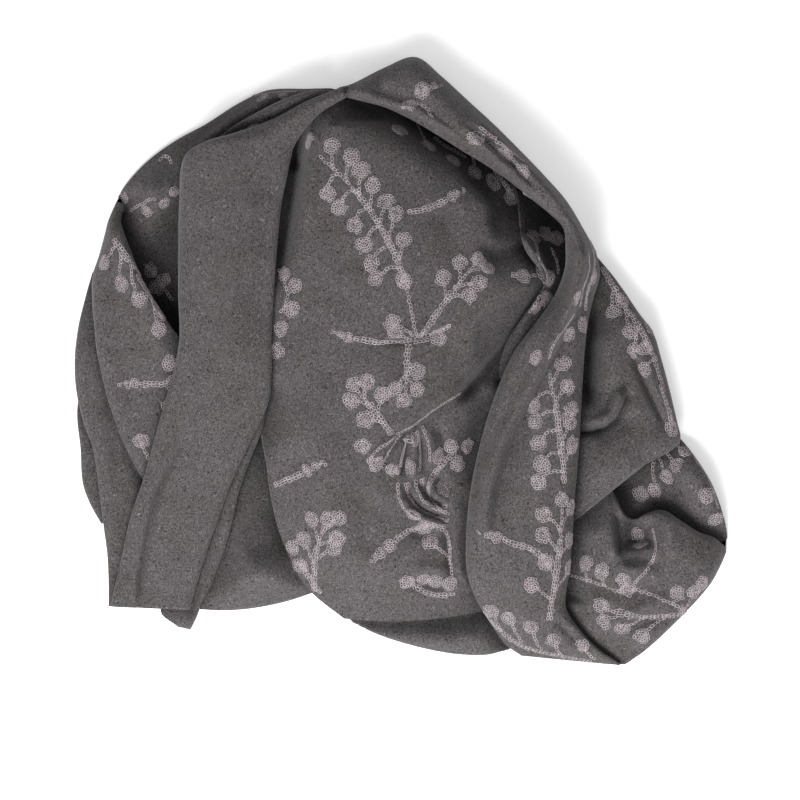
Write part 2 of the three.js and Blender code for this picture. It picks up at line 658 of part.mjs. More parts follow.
// The least of those radii from one spoke to the next on either side, so that straight edges stay clear.
function coreRadius(turn) {
  const radii = [];
  for (let i = -CORE_LOOKS; i <= CORE_LOOKS; i += 1) {
    radii.push(clearRadius(turn + (i * 2 * Math.PI) / (CORE_LOOKS * CORE_SPOKES)));
  }
  return Math.min(...radii);
}

function coreSolid() {
  const turns = Array.from({ length: CORE_SPOKES }, (_, i) => (2 * Math.PI * i) / CORE_SPOKES);
  const radii = turns.map(coreRadius);
  const middle = CORE_MIDDLE;
  const positions = [middle.x, middle.y, roomUnder(middle.x, middle.y, CORE_PRESS)];
  for (let ring = 1; ring <= CORE_RINGS; ring += 1) {
    turns.forEach((turn, i) => {
      const share = ring / CORE_RINGS;
      const x = middle.x + radii[i] * share * Math.cos(turn);
      const y = middle.y + radii[i] * share * Math.sin(turn);
      const height = ring === CORE_RINGS ? CORE_RIM : Math.max(roomUnder(x, y, CORE_PRESS), CORE_RIM);
      positions.push(x, y, height);
    });
  }
  const top = (ring, i) => 1 + (ring - 1) * CORE_SPOKES + (i % CORE_SPOKES);
  const bottomStart = positions.length / 3;
  turns.forEach((turn, i) => {
    positions.push(middle.x + radii[i] * Math.cos(turn), middle.y + radii[i] * Math.sin(turn), 0);
  });
  const bottomMiddle = positions.length / 3;
  positions.push(middle.x, middle.y, 0);
  const index = [];
  for (let i = 0; i < CORE_SPOKES; i += 1) {
    index.push(0, top(1, i), top(1, i + 1));
    for (let ring = 1; ring < CORE_RINGS; ring += 1) {
      index.push(top(ring, i), top(ring + 1, i), top(ring + 1, i + 1));
      index.push(top(ring, i), top(ring + 1, i + 1), top(ring, i + 1));
    }
    const [low, lowNext] = [bottomStart + i, bottomStart + ((i + 1) % CORE_SPOKES)];
    index.push(top(CORE_RINGS, i), low, lowNext);
    index.push(top(CORE_RINGS, i), lowNext, top(CORE_RINGS, i + 1));
    index.push(bottomMiddle, lowNext, low);
  }
  return toSolid(positions, index);
}

scarf.add(toMesh("folded_core", cutClear(coreSolid()), WOOL_INSIDE));

export default scarf;
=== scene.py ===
"""Builds the looks of an embroidered wool scarf that lies in a loose heap.

The scarf is laid strip by strip, from the topmost stretch of cloth to the lowest, each pressed down under
the ones over it. Sizes on plan are in millimetres until a mesh is made, and +Z is up from the table.
"""

import logging
import math
from collections.abc import Sequence
from dataclasses import dataclass, field
from enum import Enum

import bmesh
import bpy
import numpy as np
from mathutils import Matrix, Vector
from mathutils.bvhtree import BVHTree


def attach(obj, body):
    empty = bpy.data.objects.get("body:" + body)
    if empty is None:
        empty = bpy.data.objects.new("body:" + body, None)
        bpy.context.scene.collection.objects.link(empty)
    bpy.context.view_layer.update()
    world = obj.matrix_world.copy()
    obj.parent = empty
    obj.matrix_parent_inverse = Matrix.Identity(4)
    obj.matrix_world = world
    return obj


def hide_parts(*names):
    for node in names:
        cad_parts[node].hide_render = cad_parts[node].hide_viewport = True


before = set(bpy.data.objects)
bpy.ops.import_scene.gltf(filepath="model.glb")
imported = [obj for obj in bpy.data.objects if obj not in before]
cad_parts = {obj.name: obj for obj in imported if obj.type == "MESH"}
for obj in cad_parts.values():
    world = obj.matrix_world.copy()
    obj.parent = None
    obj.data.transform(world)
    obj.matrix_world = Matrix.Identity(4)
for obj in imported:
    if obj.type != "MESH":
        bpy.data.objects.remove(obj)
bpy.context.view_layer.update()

MM = 0.001
CLOTH = 2.2  # thickness of the felted wool
REST = CLOTH / 2  # height of the middle of a layer that lies on the table
AIR = 0.35  # least air between two layers that are pressed together
# How open a place lies among the folds, which sets its painted shade, is sought along these ways and reaches.
OPEN_WAYS = 12  # the ways in which a place looks for the folds round it
OPEN_REACHES = (5.0, 9.0, 15.0, 23.0, 34.0, 48.0)  # and how far off it looks
NO_CLOTH = 300.0  # height of the ceiling where no cloth lies above
HIGHEST = 200.0  # higher than any cloth
FOLD_GAP = 1.2 * CLOTH  # least height from the turned-under layer of a fold to the one on top of it
NARROWEST = 2.2  # width of a section below which its rolled edges shrink, in radii of a roll
ROLL_CELLS = 12  # cells round the half turn of a rolled edge
LAP_SCALE = 1.65  # makes the lip of a lap as high as the lap is said to be
STEEPEST = 2.5  # most room that a layer takes on a slope, in times its room when level
DIAGONAL = 1.41  # from a cell to the next one across a corner, in cells
COIL_EYE = 0.9  # radius at which the coil of a berry ends
COIL_CORE = 1.4  # radius inside which its links turn no faster
COIL_LINKS = (0.72, 0.9)  # how long its links are, in pitches
COIL_GAP = 0.84  # from turn to turn, in widths of a row
BERRIES_VARY = 0.05  # how berries differ in size and roundness, as a share
STALKS_VARY = 0.1  # how stalks differ in length
LEANS_VARY, BENDS_VARY = 5, 8  # and in their lean and bend, in degrees
DOUBLE_PART = 0.72  # share of a sprig's stem that has two rows
LAST_STALK = 0.94  # share of the stem below which its stalks start
STAGGER = {1: 0.25, -1: 0.6}  # where in its own part of the stem a stalk starts, on the left and on the right
SEED = 20260  # where every random choice starts
CENTRING = (-0.34, 0.33)  # brings the middle of the heap over the origin, as in the frame
log = logging.getLogger("scarf")

Spot = tuple[float, float]
Line = tuple[np.ndarray, np.ndarray]


class Reach(Enum):
    """How the stalks on one side of a sprig run: how far they lean out and bend, in degrees, and how long."""

    UP = (30, 16, 1.05)
    HOOKED = (52, 74, 1.15)


def cubic(t: np.ndarray, here: np.ndarray, ahead: np.ndarray, start: np.ndarray, end: np.ndarray) -> np.ndarray:
    """A smooth curve from one value to the next.

    Args:
        t: how far along it, from 0 to 1.
        here: the value at its start.
        ahead: the value at its end.
        start: its slope at its start.
        end: its slope at its end.

    Returns:
        Its value at each t.
    """
    t2, t3 = t * t, t * t * t
    return here * (2 * t3 - 3 * t2 + 1) + start * (t3 - 2 * t2 + t) + ahead * (3 * t2 - 2 * t3) + end * (t3 - t2)


def hermite(stations: np.ndarray, values: np.ndarray, at: np.ndarray) -> np.ndarray:
    """Smooth curves through values that stand at uneven stations.

    Args:
        stations: where the values stand, rising.
        values: one row for each station.
        at: where the curves are wanted.

    Returns:
        One row for each place in at.
    """
    last = len(stations) - 1
    k = np.clip(np.searchsorted(stations, at, side="right") - 1, 0, last - 1)
    low = np.maximum(np.arange(last + 1) - 1, 0)
    high = np.minimum(np.arange(last + 1) + 1, last)
    slopes = (values[high] - values[low]) / (stations[high] - stations[low])[:, None]
    span = (stations[k + 1] - stations[k])[:, None]
    t = np.clip((at - stations[k])[:, None] / span, 0, 1)
    return cubic(t, values[k], values[k + 1], slopes[k] * span, slopes[k + 1] * span)


def across(heights: np.ndarray, share: np.ndarray) -> np.ndarray:
    """Smooth heights across each section, from evenly spaced ones.

    Args:
        heights: one row of heights for each section.
        share: for each section, the places wanted, from 0 at its left edge to 1 at its right.

    Returns:
        An array shaped like share.
    """
    last = heights.shape[1] - 1
    k = np.clip((share * last).astype(int), 0, last - 1)
    t = np.clip(share * last - k, 0, 1)
    rows = np.arange(len(heights))[:, None]
    here, ahead = heights[rows, k], heights[rows, k + 1]
    back, beyond = heights[rows, np.maximum(k - 1, 0)], heights[rows, np.minimum(k + 2, last)]
    start = np.where(k > 0, (ahead - back) / 2, ahead - here)
    end = np.where(k + 2 <= last, (beyond - here) / 2, ahead - here)
    return cubic(t, here, ahead, start, end)


def unit(vectors: np.ndarray) -> np.ndarray:
    """The same vectors, each of length one."""
    return vectors / np.maximum(np.linalg.norm(vectors, axis=-1, keepdims=True), 1e-9)


def distances(corners: np.ndarray) -> np.ndarray:
    """How far along a line on plan each of its corners stands."""
    return np.concatenate([[0], np.cumsum(np.hypot(*(corners[1:] - corners[:-1]).T))])


def grid_normals(points: np.ndarray) -> np.ndarray:
    """The unit normals of a lattice of points, on the side that faces up when it lies flat."""
    return unit(np.cross(np.gradient(points, axis=0), np.gradient(points, axis=1)))


def placed(name: str, data: bpy.types.ID) -> bpy.types.Object:
    """A new object, in the scene."""
    piece = bpy.data.objects.new(name, data)
    bpy.context.collection.objects.link(piece)
    return piece


@dataclass(frozen=True)
class Crease:
    """A soft ridge, trough or lap in the cloth, drawn on plan.

    Args:
        path: the places it runs through.
        width: how far it spreads to each side.
        height: how far it lifts the cloth along its middle, or lowers it.
        lap: how far it lifts the cloth on its left, and lowers it on its right.
        fade: the share of its length over which it dies away at each end.
    """

    path: tuple[Spot, ...]
    width: float
    height: float = 0.0
    lap: float = 0.0
    fade: float = 0.25

    def lift(self, x: np.ndarray, y: np.ndarray) -> np.ndarray:
        """How far the crease lifts the cloth at each place."""
        corners = np.array(self.path, float)
        lengths = np.hypot(*(corners[1:] - corners[:-1]).T)
        done = np.concatenate([[0], np.cumsum(lengths)])
        best = np.full(x.shape, np.inf)
        side, run = np.ones(x.shape), np.zeros(x.shape)
        for (x0, y0), (x1, y1), length, start in zip(corners, corners[1:], lengths, done):
            ux, uy = (x1 - x0) / length, (y1 - y0) / length
            t = np.clip((x - x0) * ux + (y - y0) * uy, 0, length)
            off = (y - y0 - t * uy) * ux - (x - x0 - t * ux) * uy
            away = np.hypot(x - x0 - t * ux, y - y0 - t * uy)
            near = away < best
            best = np.where(near, away, best)
            side = np.where(near, np.sign(off), side)
            run = np.where(near, (start + t) / done[-1], run)
        ends = np.clip(np.minimum(run, 1 - run) / max(self.fade, 1e-3), 0, 1)
        ends = ends * ends * (3 - 2 * ends)
        spread = best / self.width
        bell = np.exp(-(spread**2))
        lip = self.lap * side * spread * LAP_SCALE * np.exp(-(spread**2) * 0.5) * (spread < 4)
        return ends * (self.height * bell + lip)


@dataclass(frozen=True)
class Waves:
    """Faint, uneven waves that handling leaves in felted wool.

    Args:
        seed: which waves.
        longest: the longest wave.
        shortest: the shortest wave.
        count: how many waves are added together.
    """

    seed: int
    longest: float = 95.0
    shortest: float = 22.0
    count: int = 26

    def lift(self, x: np.ndarray, y: np.ndarray) -> np.ndarray:
        """Heights of about one unit at each place."""
        random = np.random.default_rng(self.seed)
        total = np.zeros(x.shape)
        for _ in range(self.count):
            wave = math.exp(random.uniform(math.log(self.shortest), math.log(self.longest)))
            turn, phase = random.uniform(0, 2 * math.pi, 2)
            share = (wave / self.longest) ** 0.8
            total += share * np.sin(2 * math.pi * (x * math.cos(turn) + y * math.sin(turn)) / wave + phase)
        return total / math.sqrt(self.count / 2)


@dataclass
class Strip:
    """One stretch of the scarf, lofted through sections across it.

    Each row is one section: the left edge (ax, ay), the right edge (bx, by), how far its middle bows along
    the strip, the heights ua and ub of the cloth turned under at the two edges, and then the heights across.

    Args:
        name: the node of the frame that it stands for.
        roll_a: radius of the folded left edge, or 0 for a plain edge.
        roll_b: radius of the folded right edge.
        rows: the sections.
        creases: its creases, ridges and laps.
        spacing: size of its cells.
    """

    name: str
    roll_a: float
    roll_b: float
    rows: Sequence[tuple[float, ...]]
    creases: Sequence[Crease] = ()
    spacing: float = 3.0

    def edge(self, roll: float) -> np.ndarray:
        """Where the lattice stands at an edge: distances in from it, and shares of the height on top."""
        if roll == 0:
            return np.array([(0.0, 1.0)])
        flap = [(roll * (1 + share), 0.0) for share in (0.5, 0.25)]
        turns = [math.pi * i / ROLL_CELLS for i in range(ROLL_CELLS + 1)]
        return np.array(flap + [(roll * (1 - math.sin(t)), (1 - math.cos(t)) / 2) for t in turns])

    def stations(self) -> np.ndarray:
        """How far along the strip each of its rows stands."""
        rows = np.array(self.rows, float)
        return distances((rows[:, :2] + rows[:, 2:4]) / 2)

    def lattice(self, seed: int) -> tuple[np.ndarray, slice]:
        """The points on the middle of the cloth.

        Args:
            seed: which faint waves it has.

        Returns:
            The lattice, and the columns of it that are on top.
        """
        rows = np.array(self.rows, float)
        stations = self.stations()
        count = max(int(stations[-1] / self.spacing), 8)
        section = hermite(stations, rows, np.linspace(0, stations[-1], count + 1))
        ax, ay, bx, by, bow, ua, ub = (section[:, i : i + 1] for i in range(7))
        width = np.hypot(bx - ax, by - ay)
        squeeze = np.minimum(1, width / (NARROWEST * max(self.roll_a, self.roll_b, 1)))
        left, right = self.edge(self.roll_a), self.edge(self.roll_b)[::-1]
        u_left = left[:, 0] * squeeze / width
        u_right = 1 - right[:, 0] * squeeze / width
        start, end = u_left[:, -1:], u_right[:, :1]
        inner = max(int(np.median(width) / self.spacing), 6)
        u_middle = start + (end - start) * np.arange(1, inner)[None, :] / inner
        u = np.concatenate([u_left, u_middle, u_right], axis=1)
        share = np.concatenate([left[:, 1], np.ones(inner - 1), right[:, 1]])[None, :]
        under = np.concatenate(
            [np.repeat(ua, len(left), 1), ua + (ub - ua) * u_middle, np.repeat(ub, len(right), 1)], axis=1
        )
        inside = np.clip(u, 0, 1)
        bulge = bow * 4 * inside * (1 - inside) / width
        x = ax + (bx - ax) * u + (by - ay) * bulge
        y = ay + (by - ay) * u - (bx - ax) * bulge
        top = across(section[:, 7:], inside)
        for crease in self.creases:
            top = top + crease.lift(x, y)
        top = top + Waves(seed).lift(x, y)
        under = np.minimum(under, top - FOLD_GAP)
        z = np.maximum(under + (top - under) * share, REST)
        points = np.stack([x, y, z], axis=2)
        first, last = len(left) // 2, len(left) + inner - 1 + len(right) // 2 + 1
        if grid_normals(points)[:, first + 2 : last - 2, 2].mean() > 0:
            return points, slice(first, last)
        columns = points.shape[1]
        return points[:, ::-1].copy(), slice(columns - last, columns - first)


class PressMap:
    """The lowest and the highest cloth laid so far over each place on the table, as maps of small cells."""

    cell = 2.0
    cells = (330, 310)

    def __init__(self) -> None:
        """Starts with no cloth laid."""
        self.low = -np.array(self.cells) * self.cell / 2
        self.map = np.full(self.cells, NO_CLOTH)
        self.top = np.zeros(self.cells)

    def lay(self, points: np.ndarray) -> None:
        """Adds a strip that has been laid.

        Args:
            points: its lattice.
        """
        steep = np.clip(1 / np.maximum(np.abs(grid_normals(points)[:, :, 2]), 1 / STEEPEST), 1, STEEPEST)
        under = points[:, :, 2] - (CLOTH + AIR) * steep
        fine = np.dstack([points[:, :, :2], under])
        for axis in (0, 1):
            here = fine.take(range(fine.shape[axis] - 1), axis)
            ahead = fine.take(range(1, fine.shape[axis]), axis)
            steps = [here * (1 - t) + ahead * t for t in (0, 1 / 3, 2 / 3)]
            fine = np.concatenate([*steps, fine.take([-1], axis)], axis)
        cells = ((fine[:, :, :2] - self.low) / self.cell).astype(int).reshape(-1, 2)
        keep = ((cells >= 0) & (cells < self.map.shape)).all(axis=1)
        np.minimum.at(self.map, tuple(cells[keep].T), fine[:, :, 2].ravel()[keep])
        np.maximum.at(self.top, tuple(cells[keep].T), fine[:, :, 2].ravel()[keep] + CLOTH)

    def ceiling(self, slope: float = 0.9, reach: float = 26.0) -> np.ndarray:
        """The highest that the next layer may lie, rising gently all round what presses on it.

        Args:
            slope: how fast it rises.
            reach: how far out it rises.

        Returns:
            A height for each cell.
        """
        top = self.map.copy()
        round_it = [(i, j) for i in (-1, 0, 1) for j in (-1, 0, 1) if i or j]
        for step in range(int(reach / self.cell)):
            before = top.copy()
            cost = 0.0 if step == 0 else slope * self.cell
            for way in round_it:
                far = DIAGONAL if all(way) else 1.0
                top = np.minimum(top, np.roll(before, way, (0, 1)) + cost * far)
        return top

    def sample(self, ceiling: np.ndarray, x: np.ndarray, y: np.ndarray) -> np.ndarray:
        """The ceiling at each place, smoothed between cells."""
        fx, fy = (x - self.low[0]) / self.cell - 0.5, (y - self.low[1]) / self.cell - 0.5
        i = np.clip(fx.astype(int), 0, ceiling.shape[0] - 2)
        j = np.clip(fy.astype(int), 0, ceiling.shape[1] - 2)
        tx, ty = np.clip(fx - i, 0, 1), np.clip(fy - j, 0, 1)
        low = ceiling[i, j] * (1 - tx) + ceiling[i + 1, j] * tx
        high = ceiling[i, j + 1] * (1 - tx) + ceiling[i + 1, j + 1] * tx
        return low * (1 - ty) + high * ty

    def openness(self, places: np.ndarray) -> np.ndarray:
        """How much of the room over it each place sees past the folds round it, from 0 to 1; it sets the painted
        shade of the wool and the yarn.
        """
        x, y, z = places[..., 0], places[..., 1], places[..., 2] + CLOTH
        seen = np.zeros_like(x)
        for turn in 2 * math.pi * np.arange(OPEN_WAYS) / OPEN_WAYS:
            steepest = np.zeros_like(x)
            for reach in OPEN_REACHES:
                over = self.sample(self.top, x + reach * math.cos(turn), y + reach * math.sin(turn)) - z
                steepest = np.maximum(steepest, over / reach)
            seen += 1 / (1 + steepest**2) / OPEN_WAYS
        return seen


class Drape:
    """A strip as it lies in the heap, with the surface that its embroidery is laid on."""

    above = 250.0  # places are dropped on the strip from this height
    level = 45.0  # a place that misses it is sought from this height

    def __init__(self, points: np.ndarray, top: slice) -> None:
        """Keeps the lattice and builds a tree over the part of it that is on top."""
        self.points = points
        upper = points[:, top]
        rows, columns = upper.shape[:2]
        index = np.arange(rows * columns).reshape(rows, columns)
        quads = np.stack([index[:-1, :-1], index[1:, :-1], index[1:, 1:], index[:-1, 1:]], axis=2)
        self.tree = BVHTree.FromPolygons(upper.reshape(-1, 3).tolist(), quads.reshape(-1, 4).tolist())

    def flat_size(self) -> tuple[float, float]:
        """The width and length of the cloth when it is laid out flat, in metres."""
        along = np.linalg.norm(np.diff(self.points, axis=0), axis=2).sum(axis=0).mean()
        over = np.linalg.norm(np.diff(self.points, axis=1), axis=2).sum(axis=1).mean()
        return float(over * MM), float(along * MM)

    def drop(self, x: float, y: float) -> tuple[Vector, Vector]:
        """The place on top of the strip under a point on plan, and its normal."""
        place, normal, _, _ = self.tree.ray_cast(Vector((x, y, self.above)), Vector((0, 0, -1)))
        if place is None:
            place, normal, _, _ = self.tree.find_nearest(Vector((x, y, self.level)))
        return place, normal

    def nearest(self, place: Vector) -> tuple[Vector, Vector]:
        """The nearest place on the strip, and its normal."""
        found, normal, _, _ = self.tree.find_nearest(place)
        return found, normal

    def walk(self, place: Vector, heading: Vector, length: float, bend: float, pitch: float) -> Line:
        """Follows the surface from a place.

        Args:
            place: where the walk starts.
            heading: the direction it starts in.
            length: how far it goes.
            bend: how far it turns to the left on the way, in degrees.
            pitch: length of a step.

        Returns:
            The places on the way, and the normals there.
        """
        steps = max(int(round(length / pitch)), 1)
        here, normal = self.nearest(place)
        places, normals = [here.copy()], [normal.copy()]
        for _ in range(steps):
            heading = Matrix.Rotation(math.radians(bend) / steps, 3, normal) @ heading
            heading = (heading - normal * heading.dot(normal)).normalized()
            ahead, normal = self.nearest(here + heading * pitch)
            heading = (ahead - here).normalized() if (ahead - here).length > pitch / 4 else heading
            here = ahead
            places.append(here.copy())
            normals.append(normal.copy())
        return np.array(places), np.array(normals)


@dataclass(frozen=True)
class ChainStitch:
    """Rows of chain stitch in thick yarn.

    Args:
        pitch: length of one link.
        half: half the width of a row.
        thread: radius of the yarn.
        lie: height of a link over the cloth.
        stray: how far links stray sideways.
        slant: how far their ends stray from their starts.
        uneven: how their widths differ, as a share.
        sink: how their heights differ.
    """

    pitch: float = 3.5
    half: float = 1.3
    thread: float = 0.31
    lie: float = 0.16
    stray: float = 0.24
    slant: float = 0.6
    uneven: float = 0.08
    sink: float = 0.14

    def link(self) -> tuple[np.ndarray, np.ndarray]:
        """One link, as its points (across, share along, above) and its faces."""
        rounds, sides = 6, 4
        taper, overlap, lean = 0.3, 0.6, 0.45  # each link is narrow where it starts and ends on top of the next
        made = bmesh.new()
        bmesh.ops.create_grid(made, x_segments=rounds, y_segments=sides, size=0.5)
        for vertex in made.verts:
            turn = 2 * math.pi * (vertex.co.x + 0.5)
            spin = 2 * math.pi * (vertex.co.y + 0.5)
            out = self.thread * math.sin(spin)
            side = math.sin(turn) * (1 - taper * math.cos(turn))
            vertex.co = (
                side * self.half + out * math.sin(turn),
                0.5 - overlap * math.cos(turn) - out * math.cos(turn) / self.pitch,
                self.thread * (0.75 * math.cos(spin) + 0.35 - lean * math.cos(turn)),
            )
        bmesh.ops.remove_doubles(made, verts=made.verts[:], dist=1e-4)
        bmesh.ops.recalc_face_normals(made, faces=made.faces[:])
        made.verts.index_update()
        points = np.array([vertex.co[:] for vertex in made.verts])
        faces = np.array([[vertex.index for vertex in face.verts] for face in made.faces])
        made.free()
        return points, faces

    def sew(
        self, name: str, lines: Sequence[Line], openness: np.ndarray, finish: "Finish", seed: int
    ) -> bpy.types.Object:
        """Sews rows of links along lines.

        Args:
            name: name of the piece.
            lines: the rows, as places and normals.
            openness: how open each link lies, which sets its painted shade.
            finish: what the yarn is made of.
            seed: which small differences from link to link.

        Returns:
            All the links as one piece.
        """
        random = np.random.default_rng(seed)
        start = np.concatenate([places[:-1] for places, _ in lines])
        end = np.concatenate([places[1:] for places, _ in lines])
        up = unit(np.concatenate([normals[:-1] + normals[1:] for _, normals in lines]))
        along = end - start
        side = unit(np.cross(along, up))
        start = start + side * random.normal(0, self.stray, (len(start), 1))
        along = along + side * random.normal(0, self.slant, (len(start), 1))
        plump = 1 + random.normal(0, self.uneven, (len(start), 1))
        points, faces = self.link()
        rise = CLOTH / 2 + self.lie + random.normal(0, self.sink, (len(start), 1))
        places = (
            start[:, None]
            + side[:, None] * (points[:, 0] * plump)[:, :, None]
            + along[:, None] * points[:, 1][None, :, None]
            + up[:, None] * (points[:, 2] + rise)[:, :, None]
        ) * MM
        count = len(points)
        all_faces = (faces[None] + (np.arange(len(start)) * count)[:, None, None]).reshape(-1, 4)
        mesh = bpy.data.meshes.new(name)
        mesh.from_pydata(places.reshape(-1, 3).tolist(), [], all_faces.tolist())
        # Each link keeps a random tone (shade) and how open it lies (open), which sets its painted shade.
        for stored, values in (("shade", random.uniform(0, 1, len(start))), ("open", openness)):
            layer = mesh.attributes.new(stored, "FLOAT", "POINT")
            layer.data.foreach_set("value", np.repeat(values, count).astype(np.float32))
        mesh.polygons.foreach_set("use_smooth", [True] * len(mesh.polygons))
        mesh.materials.append(finish.material())
        log.info("%s: %d links", name, len(start))
        return placed(name, mesh)


def ending(row: Line) -> tuple[Vector, Vector]:
    """The end of a row, and the direction in which it ends."""
    end = Vector(row[0][-1])
    return end, (end - Vector(row[0][-2])).normalized()


@dataclass
class Needle:
    """Works rows of stitches on one strip.

    Args:
        drape: the strip.
        stitch: the stitch.
        random: for the small differences.
    """

    drape: Drape
    stitch: ChainStitch
    random: np.random.Generator

    def beside(self, line: Line, offset: float) -> Line:
        """A row that runs beside a line, this far to its right."""
        places, normals = line
        side = unit(np.cross(np.gradient(places, axis=0), normals))
        found = [self.drape.nearest(Vector(place)) for place in places + side * offset]
        return np.array([place for place, _ in found]), np.array([normal for _, normal in found])

    def abreast(self, line: Line, rows: int, gap: float) -> list[Line]:
        """Rows that run side by side, this far apart, along a line."""
        if rows == 1:
            return [line]
        return [self.beside(line, (i - (rows - 1) / 2) * gap) for i in range(rows)]

    def coil(self, centre: Vector, radius: float) -> Line:
        """A berry: one row of stitches coiled from its rim to its middle.

        Args:
            centre: its middle.
            radius: of its outermost row.

        Returns:
            The coiled row.
        """
        middle, normal = self.drape.nearest(centre)
        side = normal.orthogonal().normalized()
        over = normal.cross(side)
        turn = self.random.uniform(0, 2 * math.pi)
        squash, lean = 1 + self.random.normal(0, BERRIES_VARY), self.random.uniform(0, math.pi)
        reach, places, normals = radius, [], []
        while reach > COIL_EYE:
            x, y = reach * math.cos(turn - lean) * squash, reach * math.sin(turn - lean) / squash
            right, ahead = x * math.cos(lean) - y * math.sin(lean), x * math.sin(lean) + y * math.cos(lean)
            place, up = self.drape.nearest(middle + (side * right + over * ahead))
            places.append(place)
            normals.append(up)
            step = self.stitch.pitch * self.random.uniform(*COIL_LINKS) / max(reach, COIL_CORE)
            turn += step
            reach -= 2 * self.stitch.half * COIL_GAP * step / (2 * math.pi)
        return np.array(places), np.array(normals)


class Motif:
    """Something embroidered on a strip."""

    def lines(self, needle: Needle) -> list[Line]:
        """All its rows of stitches."""
        raise NotImplementedError


@dataclass(frozen=True)
class Stemmed(Motif):
    """Something with a stem that runs off freely.

    Args:
        start: where it starts, on plan.
        heading: the way it starts off, in degrees from +X on plan.
        length: how long its stem is.
        bend: how far its stem turns to the left, in degrees.
    """

    start: Spot
    heading: float
    length: float
    bend: float

    def stem(self, needle: Needle) -> Line:
        """The line of the stem."""
        place, _ = needle.drape.drop(*self.start)
        turn = math.radians(self.heading)
        way = Vector((math.cos(turn), math.sin(turn), 0))
        return needle.drape.walk(place, way, self.length, self.bend, needle.stitch.pitch)


@dataclass(frozen=True)
class Sprig(Stemmed):
    """A stem with stalks on both sides, and a berry on each stalk.

    Args:
        left: how many berries it has on its left.
        right: how many on its right.
        bare: the share of the stem below the first stalk.
        tip: whether a berry ends the stem.
        left_reach: how its left stalks run.
        right_reach: how its right stalks run.
        berry: radius of a berry's outermost row.
        stalk: length of a stalk.
    """

    left: int = 4
    right: int = 4
    bare: float = 0.2
    tip: bool = True
    left_reach: Reach = Reach.HOOKED
    right_reach: Reach = Reach.UP
    berry: float = 7.5
    stalk: float = 13.0

    def stalk_lines(self, needle: Needle, stem: Line, share: float, way: int) -> list[Line]:
        """One stalk and its berry.

        Args:
            needle: works them.
            stem: the stem's line.
            share: where on the stem it starts.
            way: 1 for the left side, -1 for the right.

        Returns:
            The stalk's row and the berry's.
        """
        (places, normals), random = stem, needle.random
        at = min(int(round(share * (len(places) - 1))), len(places) - 2)
        along = Vector(places[at + 1] - places[at]).normalized()
        lean, bend, length = (self.left_reach if way > 0 else self.right_reach).value
        lean += random.normal(0, LEANS_VARY)
        bend += random.normal(0, BENDS_VARY)
        heading = Matrix.Rotation(math.radians(way * lean), 3, Vector(normals[at])) @ along
        size = self.berry * (1 + random.normal(0, BERRIES_VARY)) * (1 - 0.06 * share)
        length = self.stalk * length * (1 + random.normal(0, STALKS_VARY)) * (1 - 0.15 * share)
        row = needle.drape.walk(Vector(places[at]), heading, length, way * bend, needle.stitch.pitch)
        end, onward = ending(row)
        return [row, needle.coil(end + onward * size * 0.8, size)]

    def lines(self, needle: Needle) -> list[Line]:
        """The stem, double on its lower part, the stalks and the berries."""
        places, normals = stem = self.stem(needle)
        double = max(int(len(places) * DOUBLE_PART), 3)
        made = needle.abreast((places[:double], normals[:double]), 2, 2 * needle.stitch.half)
        made.append((places[double - 2 :], normals[double - 2 :]))
        for count, way in ((self.left, 1), (self.right, -1)):
            for i in range(count):
                share = self.bare + (LAST_STALK - self.bare) / count * (i + STAGGER[way])
                made += self.stalk_lines(needle, stem, share, way)
        if self.tip:
            end, onward = ending(stem)
            made.append(needle.coil(end + onward * self.berry * 0.7, self.berry * 0.92))
        return made


@dataclass(frozen=True)
class Twig(Stemmed):
    """A stalk with one berry, or a tendril that ends in beads, each smaller than the last.

    Args:
        beads: the radii of the beads.
        rows: rows of chain on its stem.
        gap: from the end of the stem, or of a bead, to the rim of the next.
        close: how far the middle of a bead is from its far side, as a share of its radius.
    """

    beads: tuple[float, ...]
    rows: int = 1
    gap: float = 0.6
    close: float = 0.75

    def lines(self, needle: Needle) -> list[Line]:
        """The stem and the beads."""
        stem = self.stem(needle)
        made = needle.abreast(stem, self.rows, 2 * needle.stitch.half)
        end, onward = ending(stem)
        for radius in self.beads:
            end = end + onward * (radius + self.gap)
            made.append(needle.coil(end, radius))
            end = end + onward * (radius * self.close)
        return made


@dataclass(frozen=True)
class Berries(Motif):
    """Berries whose stalks are hidden in the folds.

    Args:
        places: where they are, on plan.
        radius: of their outermost rows.
    """

    places: tuple[Spot, ...]
    radius: float = 7.3

    def lines(self, needle: Needle) -> list[Line]:
        """The berries."""
        return [
            needle.coil(needle.drape.drop(*place)[0], self.radius * (1 + needle.random.normal(0, BERRIES_VARY)))
            for place in self.places
        ]


@dataclass(frozen=True)
class Trail(Motif):
    """Rows of stitches led along a way that is given, as down in the folds.

    Args:
        places: the way, on plan.
        rows: how many rows.
        gap: how far apart.
        fine: step at which it is dropped on the cloth.
    """

    places: tuple[Spot, ...]
    rows: int = 1
    gap: float = 2.6
    fine: float = 0.8

    def lines(self, needle: Needle) -> list[Line]:
        """The rows."""
        corners = np.array(self.places, float)
        done = distances(corners)
        found = [needle.drape.drop(x, y) for x, y in hermite(done, corners, np.arange(0, done[-1], self.fine))]
        ground = np.array([place[:] for place, _ in found])
        up = np.array([normal[:] for _, normal in found])
        run = np.concatenate([[0], np.cumsum(np.linalg.norm(np.diff(ground, axis=0), axis=1))])
        at = np.linspace(0, run[-1], max(int(run[-1] / needle.stitch.pitch), 2) + 1)
        places, normals = (
            np.stack([np.interp(at, run, values[:, i]) for i in range(3)], axis=1) for values in (ground, up)
        )
        return needle.abreast((places, normals), self.rows, self.gap)


Colour = tuple[float, float, float, float]
# The painted shade of the wool and the yarn runs between these two openness values.
DEEPEST, WIDE_OPEN = 0.3, 0.96  # how open the deepest and the highest places of the heap lie

# How fine each pattern is, in cells to the metre.
WEAR, WARP, CLUMPS, FIBRES, PLIES, FLECKS = 26.0, 160.0, 620.0, 1300.0, 1700.0, 1900.0


